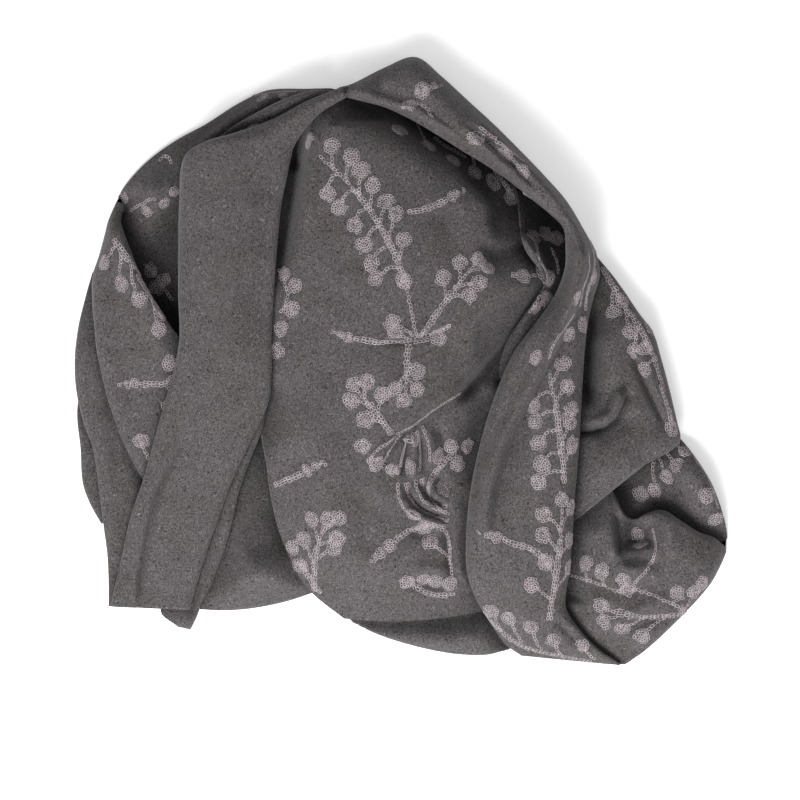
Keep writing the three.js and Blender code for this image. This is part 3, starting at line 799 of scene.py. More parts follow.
class Nodes:
    """Adds shader nodes to a material."""

    def __init__(self, name: str) -> None:
        """Starts a material with an empty tree."""
        self.material = bpy.data.materials.new(name)
        self.material.use_nodes = True
        self.tree = self.material.node_tree
        self.tree.nodes.clear()

    def add(self, kind: str, settings: dict[str, object] | None = None, **sockets: object) -> bpy.types.Node:
        """Adds a node.

        Args:
            kind: its type.
            settings: its own settings.
            sockets: values or outputs for its inputs, by name with _ for a space, or by place as i0, i1.

        Returns:
            The node.
        """
        node = self.tree.nodes.new(kind)
        for key, value in (settings or {}).items():
            setattr(node, key, value)
        for key, value in sockets.items():
            by_place = key[0] == "i" and key[1:].isdigit()
            socket = node.inputs[int(key[1:]) if by_place else key.replace("_", " ")]
            if isinstance(value, bpy.types.NodeSocket):
                self.tree.links.new(value, socket)
            else:
                socket.default_value = value
        return node

    def noise(
        self, place: bpy.types.NodeSocket, scale: float, detail: float, rough: float
    ) -> bpy.types.NodeSocket:
        """A noise pattern's value."""
        node = self.add("ShaderNodeTexNoise", Vector=place, Scale=scale, Detail=detail, Roughness=rough)
        return node.outputs["Fac"]

    def spread(
        self, value: bpy.types.NodeSocket, low: float, high: float, to_low: float = 0.0, to_high: float = 1.0
    ) -> bpy.types.NodeSocket:
        """A value moved from one range to another, and held inside it."""
        return self.add(
            "ShaderNodeMapRange", Value=value, From_Min=low, From_Max=high, To_Min=to_low, To_Max=to_high
        ).outputs["Result"]

    def stored(self, name: str) -> bpy.types.NodeSocket:
        """A value stored on the surface."""
        return self.add("ShaderNodeAttribute", {"attribute_name": name}).outputs["Fac"]

    def depth(self, least: float) -> bpy.types.NodeSocket:
        """Painted shade: how much of its lightness the colour keeps, less deep between the folds than on top of
        them.

        Args:
            least: the share of its lightness that the painted shade leaves in the deepest folds.

        Returns:
            The share at each place.
        """
        return self.spread(self.stored("open"), DEEPEST, WIDE_OPEN, least)

    def weigh(self, value: bpy.types.NodeSocket, by: float, plus: bpy.types.NodeSocket) -> bpy.types.NodeSocket:
        """One value times a weight, plus another value."""
        return self.add("ShaderNodeMath", {"operation": "MULTIPLY_ADD"}, i0=value, i1=by, i2=plus).outputs[0]

    def blend(
        self, share: bpy.types.NodeSocket | float, low: object, high: object, mode: str = "MIX"
    ) -> bpy.types.NodeSocket:
        """A colour mixed from two."""
        node = self.add("ShaderNodeMix", {"data_type": "RGBA", "blend_type": mode}, i0=share, i6=low, i7=high)
        return node.outputs[2]

    def times(self, colour: bpy.types.NodeSocket, tint: bpy.types.NodeSocket) -> bpy.types.NodeSocket:
        """A colour tinted by another, or darkened by a share."""
        return self.blend(1.0, colour, tint, "MULTIPLY")

    def bump(self, height: bpy.types.NodeSocket, strength: float, depth: float) -> bpy.types.NodeSocket:
        """The normal of a surface with fine relief."""
        return self.add("ShaderNodeBump", Strength=strength, Distance=depth, Height=height).outputs["Normal"]

    def finish(self, **sockets: object) -> bpy.types.Material:
        """Joins a shader to the surface.

        Args:
            sockets: its values and inputs.

        Returns:
            The material.
        """
        shader = self.add("ShaderNodeBsdfPrincipled", **sockets)
        self.add("ShaderNodeOutputMaterial", Surface=shader.outputs["BSDF"])
        return self.material


@dataclass(frozen=True)
class Finish:
    """A finish that pieces share.

    Args:
        name: the material's name.
    """

    name: str

    def build(self) -> bpy.types.Material:
        """Makes the material."""
        raise NotImplementedError

    def material(self) -> bpy.types.Material:
        """The material, made once."""
        return bpy.data.materials.get(self.name) or self.build()


@dataclass(frozen=True)
class BrushedWool(Finish):
    """Felted wool melange with a short nap, darkened by painted shade deep between the folds.

    Args:
        dark: colour of its dark fibres.
        light: colour of its light fibres.
        fleck: colour of its lightest fibres.
        nap: depth of the nap.
        deepest: share of its lightness that the painted shade leaves in the deepest folds.
    """

    dark: Colour = (0.0135, 0.0118, 0.0121, 1)
    light: Colour = (0.121, 0.111, 0.1125, 1)
    fleck: Colour = (0.36, 0.335, 0.338, 1)
    nap: float = 0.0006
    deepest: float = 0.3

    def build(self) -> bpy.types.Material:
        """Makes the material."""
        made = Nodes(self.name)
        place = made.add("ShaderNodeTexCoord").outputs["Object"]
        warp = made.add("ShaderNodeTexNoise", Vector=place, Scale=WARP, Detail=2.0).outputs["Color"]
        bent = made.add("ShaderNodeMix", {"data_type": "VECTOR"}, i0=0.012, i4=place, i5=warp).outputs[1]
        combed = made.add("ShaderNodeMapping", Vector=bent, Rotation=(0, 0, 0.5), Scale=(1.0, 0.38, 1.0))
        strands = combed.outputs["Vector"]
        mixed = made.weigh(made.noise(strands, FIBRES, 3.0, 0.6), 0.7, made.noise(bent, CLUMPS, 5.0, 0.78))
        colour = made.blend(made.spread(mixed, 0.7, 1.0), self.dark, self.light)
        flecks = made.spread(made.noise(strands, FLECKS, 2.0, 0.5), 0.58, 0.76, to_high=0.7)
        colour = made.blend(flecks, colour, self.fleck)
        shade = made.spread(made.noise(place, WEAR, 3.0, 0.5), 0.3, 0.7)
        colour = made.times(colour, made.blend(shade, (0.94, 0.93, 0.91, 1), (1.05, 1.05, 1.08, 1)))
        # Painted shade: the colour is darkened where the folds round a place hide the room above it.
        return made.finish(
            Base_Color=made.times(colour, made.depth(self.deepest)), Normal=made.bump(mixed, 0.7, self.nap),
            Roughness=0.94, Specular_IOR_Level=0.12, Sheen_Weight=0.2, Sheen_Roughness=0.36,
            Sheen_Tint=(0.86, 0.84, 0.85, 1),
        )


@dataclass(frozen=True)
class StitchYarn(Finish):
    """Soft matt yarn in a dusty mauve grey, darkened by painted shade deep between the folds.

    Args:
        deep: its colour in the twist.
        pale: its colour on the plies.
        deepest: share of its lightness that the painted shade leaves in the deepest folds.
    """

    deep: Colour = (0.19, 0.158, 0.168, 1)
    pale: Colour = (0.6, 0.53, 0.552, 1)
    deepest: float = 0.72

    def build(self) -> bpy.types.Material:
        """Makes the material."""
        made = Nodes(self.name)
        place = made.add("ShaderNodeTexCoord").outputs["Object"]
        plies = made.noise(place, PLIES, 3.0, 0.6)
        mixed = made.spread(made.weigh(made.stored("shade"), 0.35, plies), 0.3, 1.0)
        # Painted shade: the yarn is darkened where the folds round it hide the room above.
        colour = made.times(made.blend(mixed, self.deep, self.pale), made.depth(self.deepest))
        return made.finish(
            Base_Color=colour, Normal=made.bump(plies, 0.5, 0.0003),
            Roughness=0.86, Specular_IOR_Level=0.2, Sheen_Weight=0.2, Sheen_Roughness=0.4,
            Sheen_Tint=(0.9, 0.88, 0.9, 1),
        )


WOOL = BrushedWool("brushed_wool")
# A darker copy of the same wool for the layers inside the heap: painted shade, as these layers show only down in
# the gaps.
INNER_WOOL_PAINTED_SHADE = BrushedWool(
    "inner_wool_painted_shade", dark=(0.011, 0.01, 0.0102, 1), light=(0.08, 0.074, 0.075, 1), fleck=(0.16, 0.15, 0.15, 1)
)
YARN = StitchYarn("stitch_yarn")


def cloth(
    name: str, points: np.ndarray, openness: np.ndarray, finish: Finish, ring: bool = False
) -> bpy.types.Object:
    """Makes a piece of cloth on a lattice of points.

    Args:
        name: name of the piece.
        points: the lattice on the middle of the cloth, in millimetres.
        openness: how open each of its points lies, which sets its painted shade.
        finish: what it is made of.
        ring: whether the last row meets the first.

    Returns:
        The piece, with its wall.
    """
    rows, columns = points.shape[:2]
    made = bmesh.new()
    made.loops.layers.uv.new("cloth")
    # Each point keeps how open it lies, for the painted shade of its colour.
    painted_shade_layer = made.verts.layers.float.new("open")
    bmesh.ops.create_grid(made, x_segments=rows - 1, y_segments=columns - 1, size=0.5, calc_uvs=True)
    for vertex in made.verts:
        i, j = round((vertex.co.x + 0.5) * (rows - 1)), round((vertex.co.y + 0.5) * (columns - 1))
        vertex.co = points[i, j] * MM
        vertex[painted_shade_layer] = openness[i, j]
    if ring:
        bmesh.ops.remove_doubles(made, verts=made.verts[:], dist=1e-5)
    for face in made.faces:
        face.smooth = True
    mesh = bpy.data.meshes.new(name)
    made.to_mesh(mesh)
    made.free()
    mesh.materials.append(finish.material())
    piece = placed(name, mesh)
    wall = piece.modifiers.new("wall", "SOLIDIFY")
    wall.thickness = CLOTH * MM
    wall.offset = 0.0
    return piece


@dataclass
class HiddenLayers:
    """The folded cloth inside the heap, laid as a stack of turned-under layers.

    Args:
        middle: its middle on plan.
        layers: how many.
        spokes: cells round it.
        rings: cells from its middle to its rim.
        least: it ends where less height than this is left.
        spacing: height from one layer to the next where the heap is low.
        inset: how far its rims stay inside the room there is.
        wavy: how far the rims wave in and out.
        rounds: how often they are smoothed.
        roll: thickest that a rim is where it turns under.
        clear: room left under the cloth above.
    """

    middle: tuple[float, float] = (-10.0, -10.0)
    layers: int = 5
    spokes: int = 84
    rings: int = 20
    least: float = 8.0
    spacing: float = 3.0
    inset: float = 9.0
    wavy: float = 5.0
    rounds: int = 6
    roll: float = 4.0
    clear: float = 1.2

    def spot(self, turns: np.ndarray, radius: np.ndarray) -> tuple[np.ndarray, np.ndarray]:
        """The places on plan that lie at these radii, in these directions from its middle."""
        return self.middle[0] + np.cos(turns) * radius, self.middle[1] + np.sin(turns) * radius

    def rim(self, room: np.ndarray, press: PressMap, layer: int) -> np.ndarray:
        """How far a layer reaches along each spoke.

        Args:
            room: the ceiling over the stack.
            press: the map it belongs to.
            layer: which layer, from the table up.

        Returns:
            A radius for each spoke.
        """
        turns = 2 * np.pi * np.arange(self.spokes) / self.spokes
        reach = np.arange(4.0, 330.0, 3.0)
        free = press.sample(room, *self.spot(turns[:, None], reach))
        need = self.least + self.spacing * layer * 1.3  # the upper layers stay back from the rim of the heap
        low = (free < need) | (free > HIGHEST)
        first = np.where(low.any(axis=1), low.argmax(axis=1), len(reach) - 1)
        radius = reach[first] - self.inset
        random = np.random.default_rng(SEED + layer)
        waves = sum(np.sin(turns * n + random.uniform(0, 6.3)) / n for n in (2, 3, 5))
        radius = radius - self.wavy * np.abs(waves)
        for _ in range(self.rounds):
            radius = np.minimum(radius, (np.roll(radius, 1) + radius + np.roll(radius, -1)) / 3)
            radius = (np.roll(radius, 1) + radius + np.roll(radius, -1)) / 3
        return radius

    def lattice(self, room: np.ndarray, press: PressMap, layer: int) -> np.ndarray:
        """The points of one layer, from its middle out to its rim and turned under there."""
        turns = 2 * np.pi * np.arange(self.spokes + 1) / self.spokes
        radius = np.append(self.rim(room, press, layer), 0.0)
        radius[-1] = radius[0]
        share = np.linspace(0, 1, self.rings + 1)[1:] ** 0.8
        share[0] = 0.02
        x, y = self.spot(turns[:, None], share[None, :] * radius[:, None])
        free = press.sample(room, x, y)
        free = np.where(free > HIGHEST, REST, free)
        part = (layer + 0.6) / self.layers
        low = REST + self.spacing * layer * np.ones_like(free)
        z = np.clip(free * part, low, None)
        z = np.minimum(z, np.maximum(free - self.clear, REST))
        z = z + 0.5 * Waves(SEED + 40 + layer).lift(x, y) * (layer > 0) * share[None, :]
        z = np.maximum(z, REST + 0.2 * layer)
        turned = []
        roll = np.minimum(z[:, -1] - REST, self.roll) / 2
        for turn in (35, 70, 105, 140, 175):
            out, down = math.sin(math.radians(turn)), 1 - math.cos(math.radians(turn))
            turned.append(np.stack([*self.spot(turns, radius + roll * out), z[:, -1] - roll * down], 1))
        return np.concatenate([np.stack([x, y, z], axis=2), np.stack(turned, axis=1)], axis=1)

    def build(self, press: PressMap) -> None:
        room = press.ceiling(slope=0.6, reach=30.0)
        for layer in range(self.layers):
            points = self.lattice(room, press, layer)[::-1]
            piece = cloth(f"hidden_layer_{layer + 1}", points, press.openness(points), INNER_WOOL_PAINTED_SHADE, ring=True)
            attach(piece, "root")
            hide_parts("folded_core")
            log.info("%s", piece.name)


@dataclass(frozen=True)
class Softbox:
    """A square soft light, aimed at the middle of the floor.

    Args:
        name: its name.
        place: where it hangs.
        size: length of its side.
        power: its power in watts.
    """

    name: str
    place: tuple[float, float, float]
    size: float
    power: float

    def hang(self) -> None:
        """Hangs it."""
        lamp = bpy.data.lights.new(self.name, "AREA")
        lamp.size = self.size
        lamp.energy = self.power
        piece = placed(self.name, lamp)
        piece.location = self.place
        piece.rotation_euler = (-Vector(self.place)).to_track_quat("-Z", "Y").to_euler()


@dataclass
class Studio:
    """A pale floor, soft light and a camera straight above.

    Args:
        frame_width: width of what the camera sees, at the scarf's height.
        height: height of the camera.
        aim: what it looks down on.
        scarf_height: about how high the top of the scarf is.
        sensor: width of the camera's sensor in millimetres.
        sky: strength of the light from all round.
        softboxes: its lights.
    """

    frame_width: float = 0.736
    height: float = 5.0
    aim: tuple[float, float] = (-0.0013, -0.0356)
    scarf_height: float = 0.04
    sensor: float = 36.0
    sky: float = 0.52
    softboxes: tuple[Softbox, ...] = (
        Softbox("softbox_front", (-0.8, -2.3, 2.3), 1.9, 178.0),
        Softbox("softbox_right", (1.9, 0.4, 2.2), 1.6, 6.0),
    )

    def floor(self) -> None:
        """Lays the floor."""
        made = bmesh.new()
        bmesh.ops.create_grid(made, x_segments=1, y_segments=1, size=4.0)
        mesh = bpy.data.meshes.new("floor")
        made.to_mesh(mesh)
        made.free()
        paint = Nodes("floor_paint").finish(
            Base_Color=(0.93, 0.93, 0.93, 1), Roughness=0.9, Specular_IOR_Level=0.1,
            Emission_Color=(1.0, 1.0, 1.0, 1), Emission_Strength=0.3,
        )
        mesh.materials.append(paint)
        placed("floor", mesh)

    def build(self) -> None:
        """Sets up the studio."""
        self.floor()
        world = bpy.data.worlds.new("studio")
        world.use_nodes = True
        sky = world.node_tree.nodes["Background"]
        sky.inputs["Color"].default_value = (1.0, 1.0, 1.0, 1.0)
        sky.inputs["Strength"].default_value = self.sky
        bpy.context.scene.world = world
        for softbox in self.softboxes:
            softbox.hang()
        camera = bpy.data.cameras.new("camera")
        camera.sensor_width = self.sensor
        camera.lens = self.sensor * (self.height - self.scarf_height) / self.frame_width
        piece = placed("camera", camera)
        piece.location = (*self.aim, self.height)
        bpy.context.scene.camera = piece
        bpy.context.scene.view_settings.view_transform = "Standard"
        bpy.context.scene.view_settings.look = "None"


FRONT_TAIL = Strip("front_tail", roll_a=7, roll_b=6, spacing=2.5, rows=(
    (-54, 251, -51, 243, 0, 44, 44, 48, 50, 48),
    (-88, 237, -74, 229, 0, 44, 44, 51, 55, 51),
    (-118, 221, -90, 212, 0, 42, 42, 52, 57, 52),
    (-152, 209, -99, 198, 0, 38, 42, 53, 58, 53),
    (-182, 200, -103, 184, 0, 32, 42, 52, 60, 53),
    (-199, 187, -106, 168, 0, 28, 43, 51, 61, 54),
    (-203, 150, -111, 143, 0, 25, 44, 52, 62, 55),
    (-204, 105, -115, 103, 0, 25, 45, 54, 62, 56),
    (-204, 60, -118, 60, 0, 26, 46, 54, 61, 56),
    (-203, 20, -120, 20, 0, 30, 45, 52, 59, 55),
    (-209, -12, -120, -10, 0, 34, 43, 48, 55, 52),
    (-217, -40, -123, -38, 0, 33, 40, 44, 50, 48),
    (-227, -75, -138, -70, 0, 28, 35, 38, 44, 42),
    (-237, -110, -155, -106, 0, 22, 28, 32, 37, 35),
    (-249, -145, -169, -143, 0, 17, 21, 26, 30, 28),
    (-257, -180, -182, -180, 0, 12, 14, 20, 23, 21),
    (-268, -227, -197, -230, 0, 7, 7, 12, 13, 12),
), creases=(
    Crease(
        (
            (-246, -229), (-243, -196), (-235, -150),
            (-227, -120), (-211, -86), (-198, -64),
        ),
        2.8, lap=3.0, fade=0.12,
    ),
    Crease(((-242, -229), (-239, -196), (-231, -150), (-223, -120), (-208, -88)), 2.6, -2.4, fade=0.12),
    Crease(((-190, 196), (-150, 203), (-110, 206)), 6, 2.5),
    Crease(((-150, 60), (-152, -20), (-176, -100)), 16, 2.0),
    Crease(((-204, 170), (-190, 60), (-190, -30)), 20, -2.5),
    Crease(((-120, 200), (-124, 100), (-128, 10)), 12, -2.5),
))

LOOP_BAND = Strip("loop_band", roll_a=14, roll_b=8, spacing=2.4, rows=(
    (-57, 251, -55, 245, 0, 30, 34, 40, 42, 40),
    (-44, 255, -40, 241, 0, 20, 36, 40, 48, 46),
    (-15, 270, -14, 234, 0, 6, 36, 38, 52, 50),
    (13, 280, 11, 222, 0, REST, 37, 36, 56, 54),
    (36, 263, 33, 209, 0, REST, 38, 38, 58, 55),
    (60, 241, 55, 195, 0, REST, 39, 40, 59, 56),
    (86, 217, 78, 181, 0, REST, 40, 42, 60, 57),
    (111, 192, 101, 165, 0, REST, 41, 44, 61, 58),
    (132, 170, 122, 148, 0, REST, 41, 46, 62, 60),
    (152, 147, 138, 135, 0, REST, 41, 49, 64, 62),
    (167, 122, 150, 122, 0, 4, 42, 50, 67, 62),
    (179, 98, 152, 102, 0, 14, 43, 50, 71, 63),
    (182, 80, 151, 84, 0, 20, 43, 50, 73, 63),
    (176, 58, 142, 60, 0, 24, 43, 54, 75, 62),
    (171, 36, 127, 38, 0, 25, 42, 61, 75, 64),
    (168, 10, 106, 10, 0, 26, 41, 61, 74, 62),
    (166, -20, 91, -22, 0, 27, 40, 60, 72, 60),
    (164, -55, 79, -57, 0, 28, 39, 58, 70, 58),
    (162, -90, 70, -92, 0, 28, 37, 56, 67, 55),
    (159, -125, 64, -125, 0, 27, 34, 53, 64, 52),
    (157, -160, 61, -160, 0, 22, 31, 50, 60, 48),
    (154, -195, 62, -195, 0, 18, 27, 45, 54, 43),
    (151, -226, 71, -221, 0, 13, 18, 36, 45, 35),
    (163, -247, 84, -242, 0, 12, 12, 26, 34, 26),
    (182, -267, 97, -261, 0, 8, 7, 17, 21, 15),
    (203, -281, 112, -272, 0, REST, REST, 6, 6, 6),
), creases=(
    Crease(
        (
            (165, 124), (167, 104), (162, 72), (156, 50), (138, 14),
            (108, -44), (92, -74), (81, -108), (77, -140), (76, -180),
        ),
        5.2, 10.0, fade=0.1,
    ),
    Crease(
        (
            (171, 100), (168, 72), (162, 46), (146, 12),
            (118, -40), (103, -78), (92, -120), (88, -170),
        ),
        9, -9.0,
    ),
    Crease(((-34, 250), (0, 252), (24, 240)), 14, -5),
    Crease(((-44, 247), (-14, 236), (14, 227), (40, 211), (70, 192)), 2.6, lap=3.4, fade=0.1),
    Crease(((-40, 256), (-8, 246), (18, 238), (46, 220)), 8, -3),
    Crease(((56, 232), (85, 206), (110, 183), (134, 158), (150, 136)), 3.0, 5.0),
    Crease(((52, 224), (80, 199), (104, 177), (128, 153)), 3.2, -4.6),
    Crease(((60, 210), (84, 190), (104, 170), (124, 150)), 3.0, 5.0),
    Crease(((40, 214), (64, 196), (90, 174)), 5, -3.4),
    Crease(((118, -20), (108, -80), (104, -140), (104, -200)), 14, -3),
    Crease(((150, -240), (162, -246), (172, -255), (182, -268), (198, -277)), 4, 3.6),
    Crease(((140, -236), (154, -250), (168, -266)), 4, -3.4),
    Crease(((128, -150), (120, -190), (124, -226)), 10, 2.4),
))

INNER_TWIST = Strip("inner_twist", roll_a=4, roll_b=4, spacing=1.8, rows=(
    (107, 158, 127, 146, 0, 32, 32, 38, 39, 38),
    (109, 143, 147, 132, 0, 34, 34, 42, 43, 40),
    (111, 118, 156, 115, 0, 37, 34, 46, 47, 42),
    (116, 101, 158, 97, 0, 39, 34, 48, 49, 42),
    (128, 84, 157, 81, 0, 40, 35, 49, 49, 42),
    (132, 72, 150, 69, 0, 40, 35, 48, 48, 42),
    (125, 57, 146, 52, 0, 38, 34, 46, 46, 41),
    (111, 37, 134, 31, 0, 35, 32, 43, 43, 39),
    (99, 18, 120, 11, 0, 32, 30, 38, 39, 37),
    (93, 1, 113, -5, 0, 29, 28, 33, 34, 33),
    (92, -16, 108, -20, 0, 27, 26, 29, 31, 31),
), creases=(
    Crease(((112, 134), (116, 108), (131, 82), (134, 72), (122, 52), (104, 24)), 2.6, 3.0),
    Crease(((120, 132), (124, 108), (138, 82), (138, 68), (128, 50), (112, 26)), 3.6, -6.0),
    Crease(((130, 126), (138, 104), (143, 84)), 3.0, 3.0),
))

LEFT_SHOULDER = Strip("left_shoulder", roll_a=9, roll_b=5, rows=(
    (-263, 147, -257, 145, 0, REST, 4, 5, 7, 8),
    (-270, 130, -260, 130, 0, REST, 14, 17, 21, 21),
    (-273, 117, -256, 117, 0, REST, 20, 26, 33, 34),
    (-278, 98, -249, 99, 0, 3, 20, 28, 38, 40),
    (-284, 78, -241, 79, 0, 10, 22, 29, 40, 43),
    (-284, 55, -229, 57, 0, 16, 24, 31, 41, 45),
    (-282, 33, -216, 36, 0, 20, 25, 32, 41, 44),
    (-280, 12, -200, 14, 0, 21, 24, 32, 39, 40),
    (-276, -8, -190, -8, 0, 21, 21, 31, 35, 32),
    (-271, -30, -194, -33, 0, 20, 20, 29, 31, 28),
    (-263, -55, -203, -58, 0, 19, 18, 26, 28, 25),
    (-254, -78, -212, -82, 0, 17, 16, 23, 25, 22),
    (-244, -98, -221, -101, 0, 14, 14, 20, 21, 19),
    (-237, -110, -229, -112, 0, 12, 12, 17, 17, 17),
), creases=(
    Crease(((-262, 120), (-262, 60), (-256, 0), (-244, -60)), 8, -3.6),
    Crease(((-250, 90), (-232, 40), (-214, -10)), 8, 3.2),
    Crease(((-222, 20), (-208, -20), (-214, -60)), 7, -3.4),
))

TOP_LEFT_INNER = Strip("top_left_inner", roll_a=4, roll_b=0, rows=(
    (-64, 249, -64, 240, 0, 32, 38, 42, 43, 42),
    (-86, 247, -88, 226, 0, 31, 38, 43, 45, 42),
    (-101, 243, -104, 213, 0, 30, 36, 43, 46, 40),
    (-117, 236, -122, 204, 0, 29, 34, 43, 46, 38),
    (-136, 226, -142, 196, 0, 28, 32, 42, 45, 36),
    (-153, 216, -158, 190, 0, 27, 30, 40, 42, 34),
    (-169, 204, -174, 188, 0, 26, 28, 37, 38, 32),
))

TAIL_UNDERLAY = Strip("tail_underlay", roll_a=0, roll_b=5, rows=(
    (-142, -30, -124, -34, 0, 30, 29, 36, 38, 38),
    (-150, -62, -129, -62, 0, 27, 26, 33, 34, 34),
    (-162, -92, -140, -90, 0, 22, 22, 27, 29, 29),
    (-172, -122, -150, -118, 0, 16, 18, 21, 24, 24),
    (-182, -150, -157, -148, 0, 11, 14, 15, 18, 19),
    (-192, -178, -165, -176, 0, 7, 9, 9, 13, 14),
    (-203, -205, -176, -204, 0, REST, 5, 4, 8, 11),
    (-219, -222, -186, -224, 0, REST, 3, 3, 5, 11),
    (-222, -234, -190, -236, 0, REST, 2, 2.5, 4, 10),
    (-206, -246, -196, -248, 0, REST, REST, 2.5, 4, 7),
))

CENTRE_PANEL = Strip("centre_panel", roll_a=0, roll_b=0, spacing=2.2, rows=(
    (-61, 248, -50, 250, 0, 30, 30, 38, 38, 38, 37, 36, 35, 33),
    (-66, 243, -44, 247, 0, 30, 30, 40, 42, 42, 41, 39, 36, 33),
    (-84, 224, -20, 243, 0, 30, 20, 24, 42, 46, 44, 39, 33, 28),
    (-100, 204, 28, 228, 0, 22, 20, 18, 46, 52, 49, 43, 32, 25),
    (-112, 182, 70, 200, 0, 26, 20, 22, 48, 56, 55, 49, 36, 27),
    (-120, 156, 106, 168, 0, 30, 20, 32, 51, 57, 58, 54, 40, 28),
    (-124, 126, 122, 132, 0, 36, 22, 38, 51, 58, 60, 57, 46, 33),
    (-128, 94, 136, 98, 0, 38, 24, 42, 52, 58, 61, 59, 47, 28),
    (-130, 62, 138, 66, 0, 38, 26, 42, 52, 58, 60, 60, 55, 29),
    (-131, 30, 122, 36, 0, 38, 26, 41, 52, 57, 60, 60, 54, 29),
    (-131, -2, 104, 4, 0, 38, 24, 40, 51, 56, 60, 60, 48, 29),
    (-128, -34, 100, -30, 0, 34, 22, 35, 50, 55, 59, 57, 42, 30),
    (-129, -64, 90, -62, 0, 30, 21, 34, 48, 53, 57, 48, 38, 29),
    (-124, -94, 83, -94, 0, 22, 20, 30, 45, 51, 50, 42, 37, 29),
    (-120, -124, 78, -124, 0, 17, 18, 26, 42, 48, 45, 40, 36, 28),
    (-113, -154, 74, -154, 0, 13, 16, 22, 38, 44, 42, 38, 34, 26),
    (-102, -182, 74, -184, 0, 9, 14, 18, 33, 39, 39, 36, 32, 24),
    (-85, -211, 78, -208, 0, REST, 12, 10, 19, 24, 26, 25, 22, 18),
    (-53, -238, 82, -229, 6, REST, 10, 3, 5, 7, 8, 8, 8, 7),
), creases=(
    Crease(
        (
            (-96, 232), (-96, 206), (-98, 176), (-103, 146),
            (-109, 112), (-115, 78), (-119, 46),
        ),
        9, -24, fade=0.42,
    ),
    Crease(((-93, 226), (-95, 202), (-99, 172)), 7, -15, fade=0.3),
    Crease(((-74, 234), (-79, 208), (-82, 180), (-84, 148), (-88, 116)), 6, 6),
    Crease(
        ((-46, 248), (0, 232), (36, 209), (66, 192), (90, 176), (110, 158), (122, 140)), 19, -25, fade=0.06
    ),
    Crease(((72, 92), (98, 104), (122, 112)), 13, -13),
    Crease(((120, 134), (116, 112), (130, 84)), 8, -9),
    Crease(((129, 64), (96, 42), (62, 14)), 12, 6.5),
    Crease(((134, 72), (120, 46), (104, 25), (90, 8), (76, -10), (62, -26), (46, -38)), 7.5, -21, fade=0.2),
    Crease(((92, -10), (80, -36), (72, -62), (64, -92), (58, -124)), 12, -12, fade=0.4),
    Crease(((62, -20), (50, -30), (30, -43), (8, -59), (-10, -68)), 4.6, lap=-3.6, fade=0.14),
    Crease(((-26, 17), (0, 17), (20, 22), (48, 32)), 3.6, -3.4),
    Crease(((-16, 23), (4, 25), (30, 36)), 4.5, 2.6),
    Crease(((-2, -64), (-15, -76), (-28, -92)), 3.0, 5.0),
    Crease(((0, -66), (-10, -82), (-18, -99)), 3.0, -6.0),
    Crease(((3, -66), (-3, -84), (-8, -105)), 3.0, 5.4),
    Crease(((7, -66), (4, -86), (1, -108)), 3.0, -6.4),
    Crease(((11, -65), (12, -86), (10, -110)), 3.2, 5.4),
    Crease(((17, -64), (20, -86), (19, -106)), 3.2, -5.6),
    Crease(((24, -60), (29, -80), (28, -98)), 3.6, 4.2),
    Crease(((34, -56), (40, -76), (40, -96)), 5, -4.6),
    Crease(((-2, -111), (0, -126), (8, -138), (22, -146), (43, -151)), 3.0, 5.4),
    Crease(((5, -111), (8, -124), (17, -135), (31, -142), (44, -145)), 2.8, -6.4),
    Crease(((12, -109), (15, -122), (24, -132), (40, -139)), 2.8, 5.6),
    Crease(((19, -108), (22, -120), (30, -129), (43, -134)), 2.8, -6.2),
    Crease(((26, -103), (27, -117), (34, -126), (45, -129)), 3.0, 5.0),
    Crease(((34, -102), (36, -112), (46, -122)), 3.6, -4.6),
    Crease(((2, -154), (18, -160), (40, -160)), 5, -4.2),
    Crease(((43, -126), (42, -160), (44, -186), (54, -212)), 4.2, -6.0),
    Crease(((54, -124), (53, -160), (55, -190), (64, -214)), 5.5, 5.5),
    Crease(((-60, -60), (-70, -110), (-62, -170)), 22, 5),
    Crease(((-20, 150), (0, 100), (-40, 40)), 30, 4),
    Crease(((40, 150), (46, 110), (70, 70)), 16, -4),
    Crease(((-90, 60), (-80, 0), (-86, -60)), 18, -4),
    Crease(((-50, 10), (-20, -20), (20, -30)), 18, 3.5),
    Crease(((-20, -120), (-34, -150), (-22, -186)), 17, -5),
    Crease(((-98, -60), (-90, -120), (-82, -180)), 12, -4),
    Crease(((8, -196), (26, -190), (44, -196)), 6, 4.5),
    Crease(((0, -208), (24, -206), (48, -212)), 4, -4.0),
))

TOP_LEFT_ROLL = Strip("top_left_roll", roll_a=7, roll_b=0, rows=(
    (-57, 251, -60, 242, 0, 22, 30, 28, 30, 32, 32, 31, 31, 30, 30),
    (-85, 251, -80, 234, 0, 10, 26, 18, 24, 30, 33, 31, 28, 27, 26),
    (-123, 250, -110, 222, 0, REST, 22, 13, 20, 28, 33, 30, 25, 23, 22),
    (-150, 238, -133, 208, 0, REST, 20, 10, 18, 26, 34, 30, 22, 20, 19),
    (-180, 219, -154, 188, 0, REST, 17, 9, 17, 26, 35, 28, 15, 12, 10),
    (-206, 205, -170, 162, 0, REST, 14, 8, 16, 25, 35, 24, 10, 8, 6),
    (-229, 189, -182, 128, 0, REST, 12, 8, 15, 25, 34, 15, 6, 5, 4),
    (-245, 174, -188, 92, 0, REST, 11, 8, 18, 33, 17, 5, 4, 4, 4),
    (-257, 159, -192, 56, 0, REST, 10, 8, 26, 18, 6, 4, 4, 4, 4),
    (-265, 145, -202, 28, 0, REST, 9, 8, 18, 8, 4, 4, 4, 4, 4),
    (-268, 132, -214, 12, 0, REST, 8, 7, 10, 5, 4, 4, 4, 4, 4),
    (-266, 120, -230, 0, 0, REST, 8, 6, 6, 4, 4, 4, 4, 4, 4),
), creases=(
    Crease(((-90, 246), (-134, 238), (-184, 208), (-222, 176)), 5, -3),
))

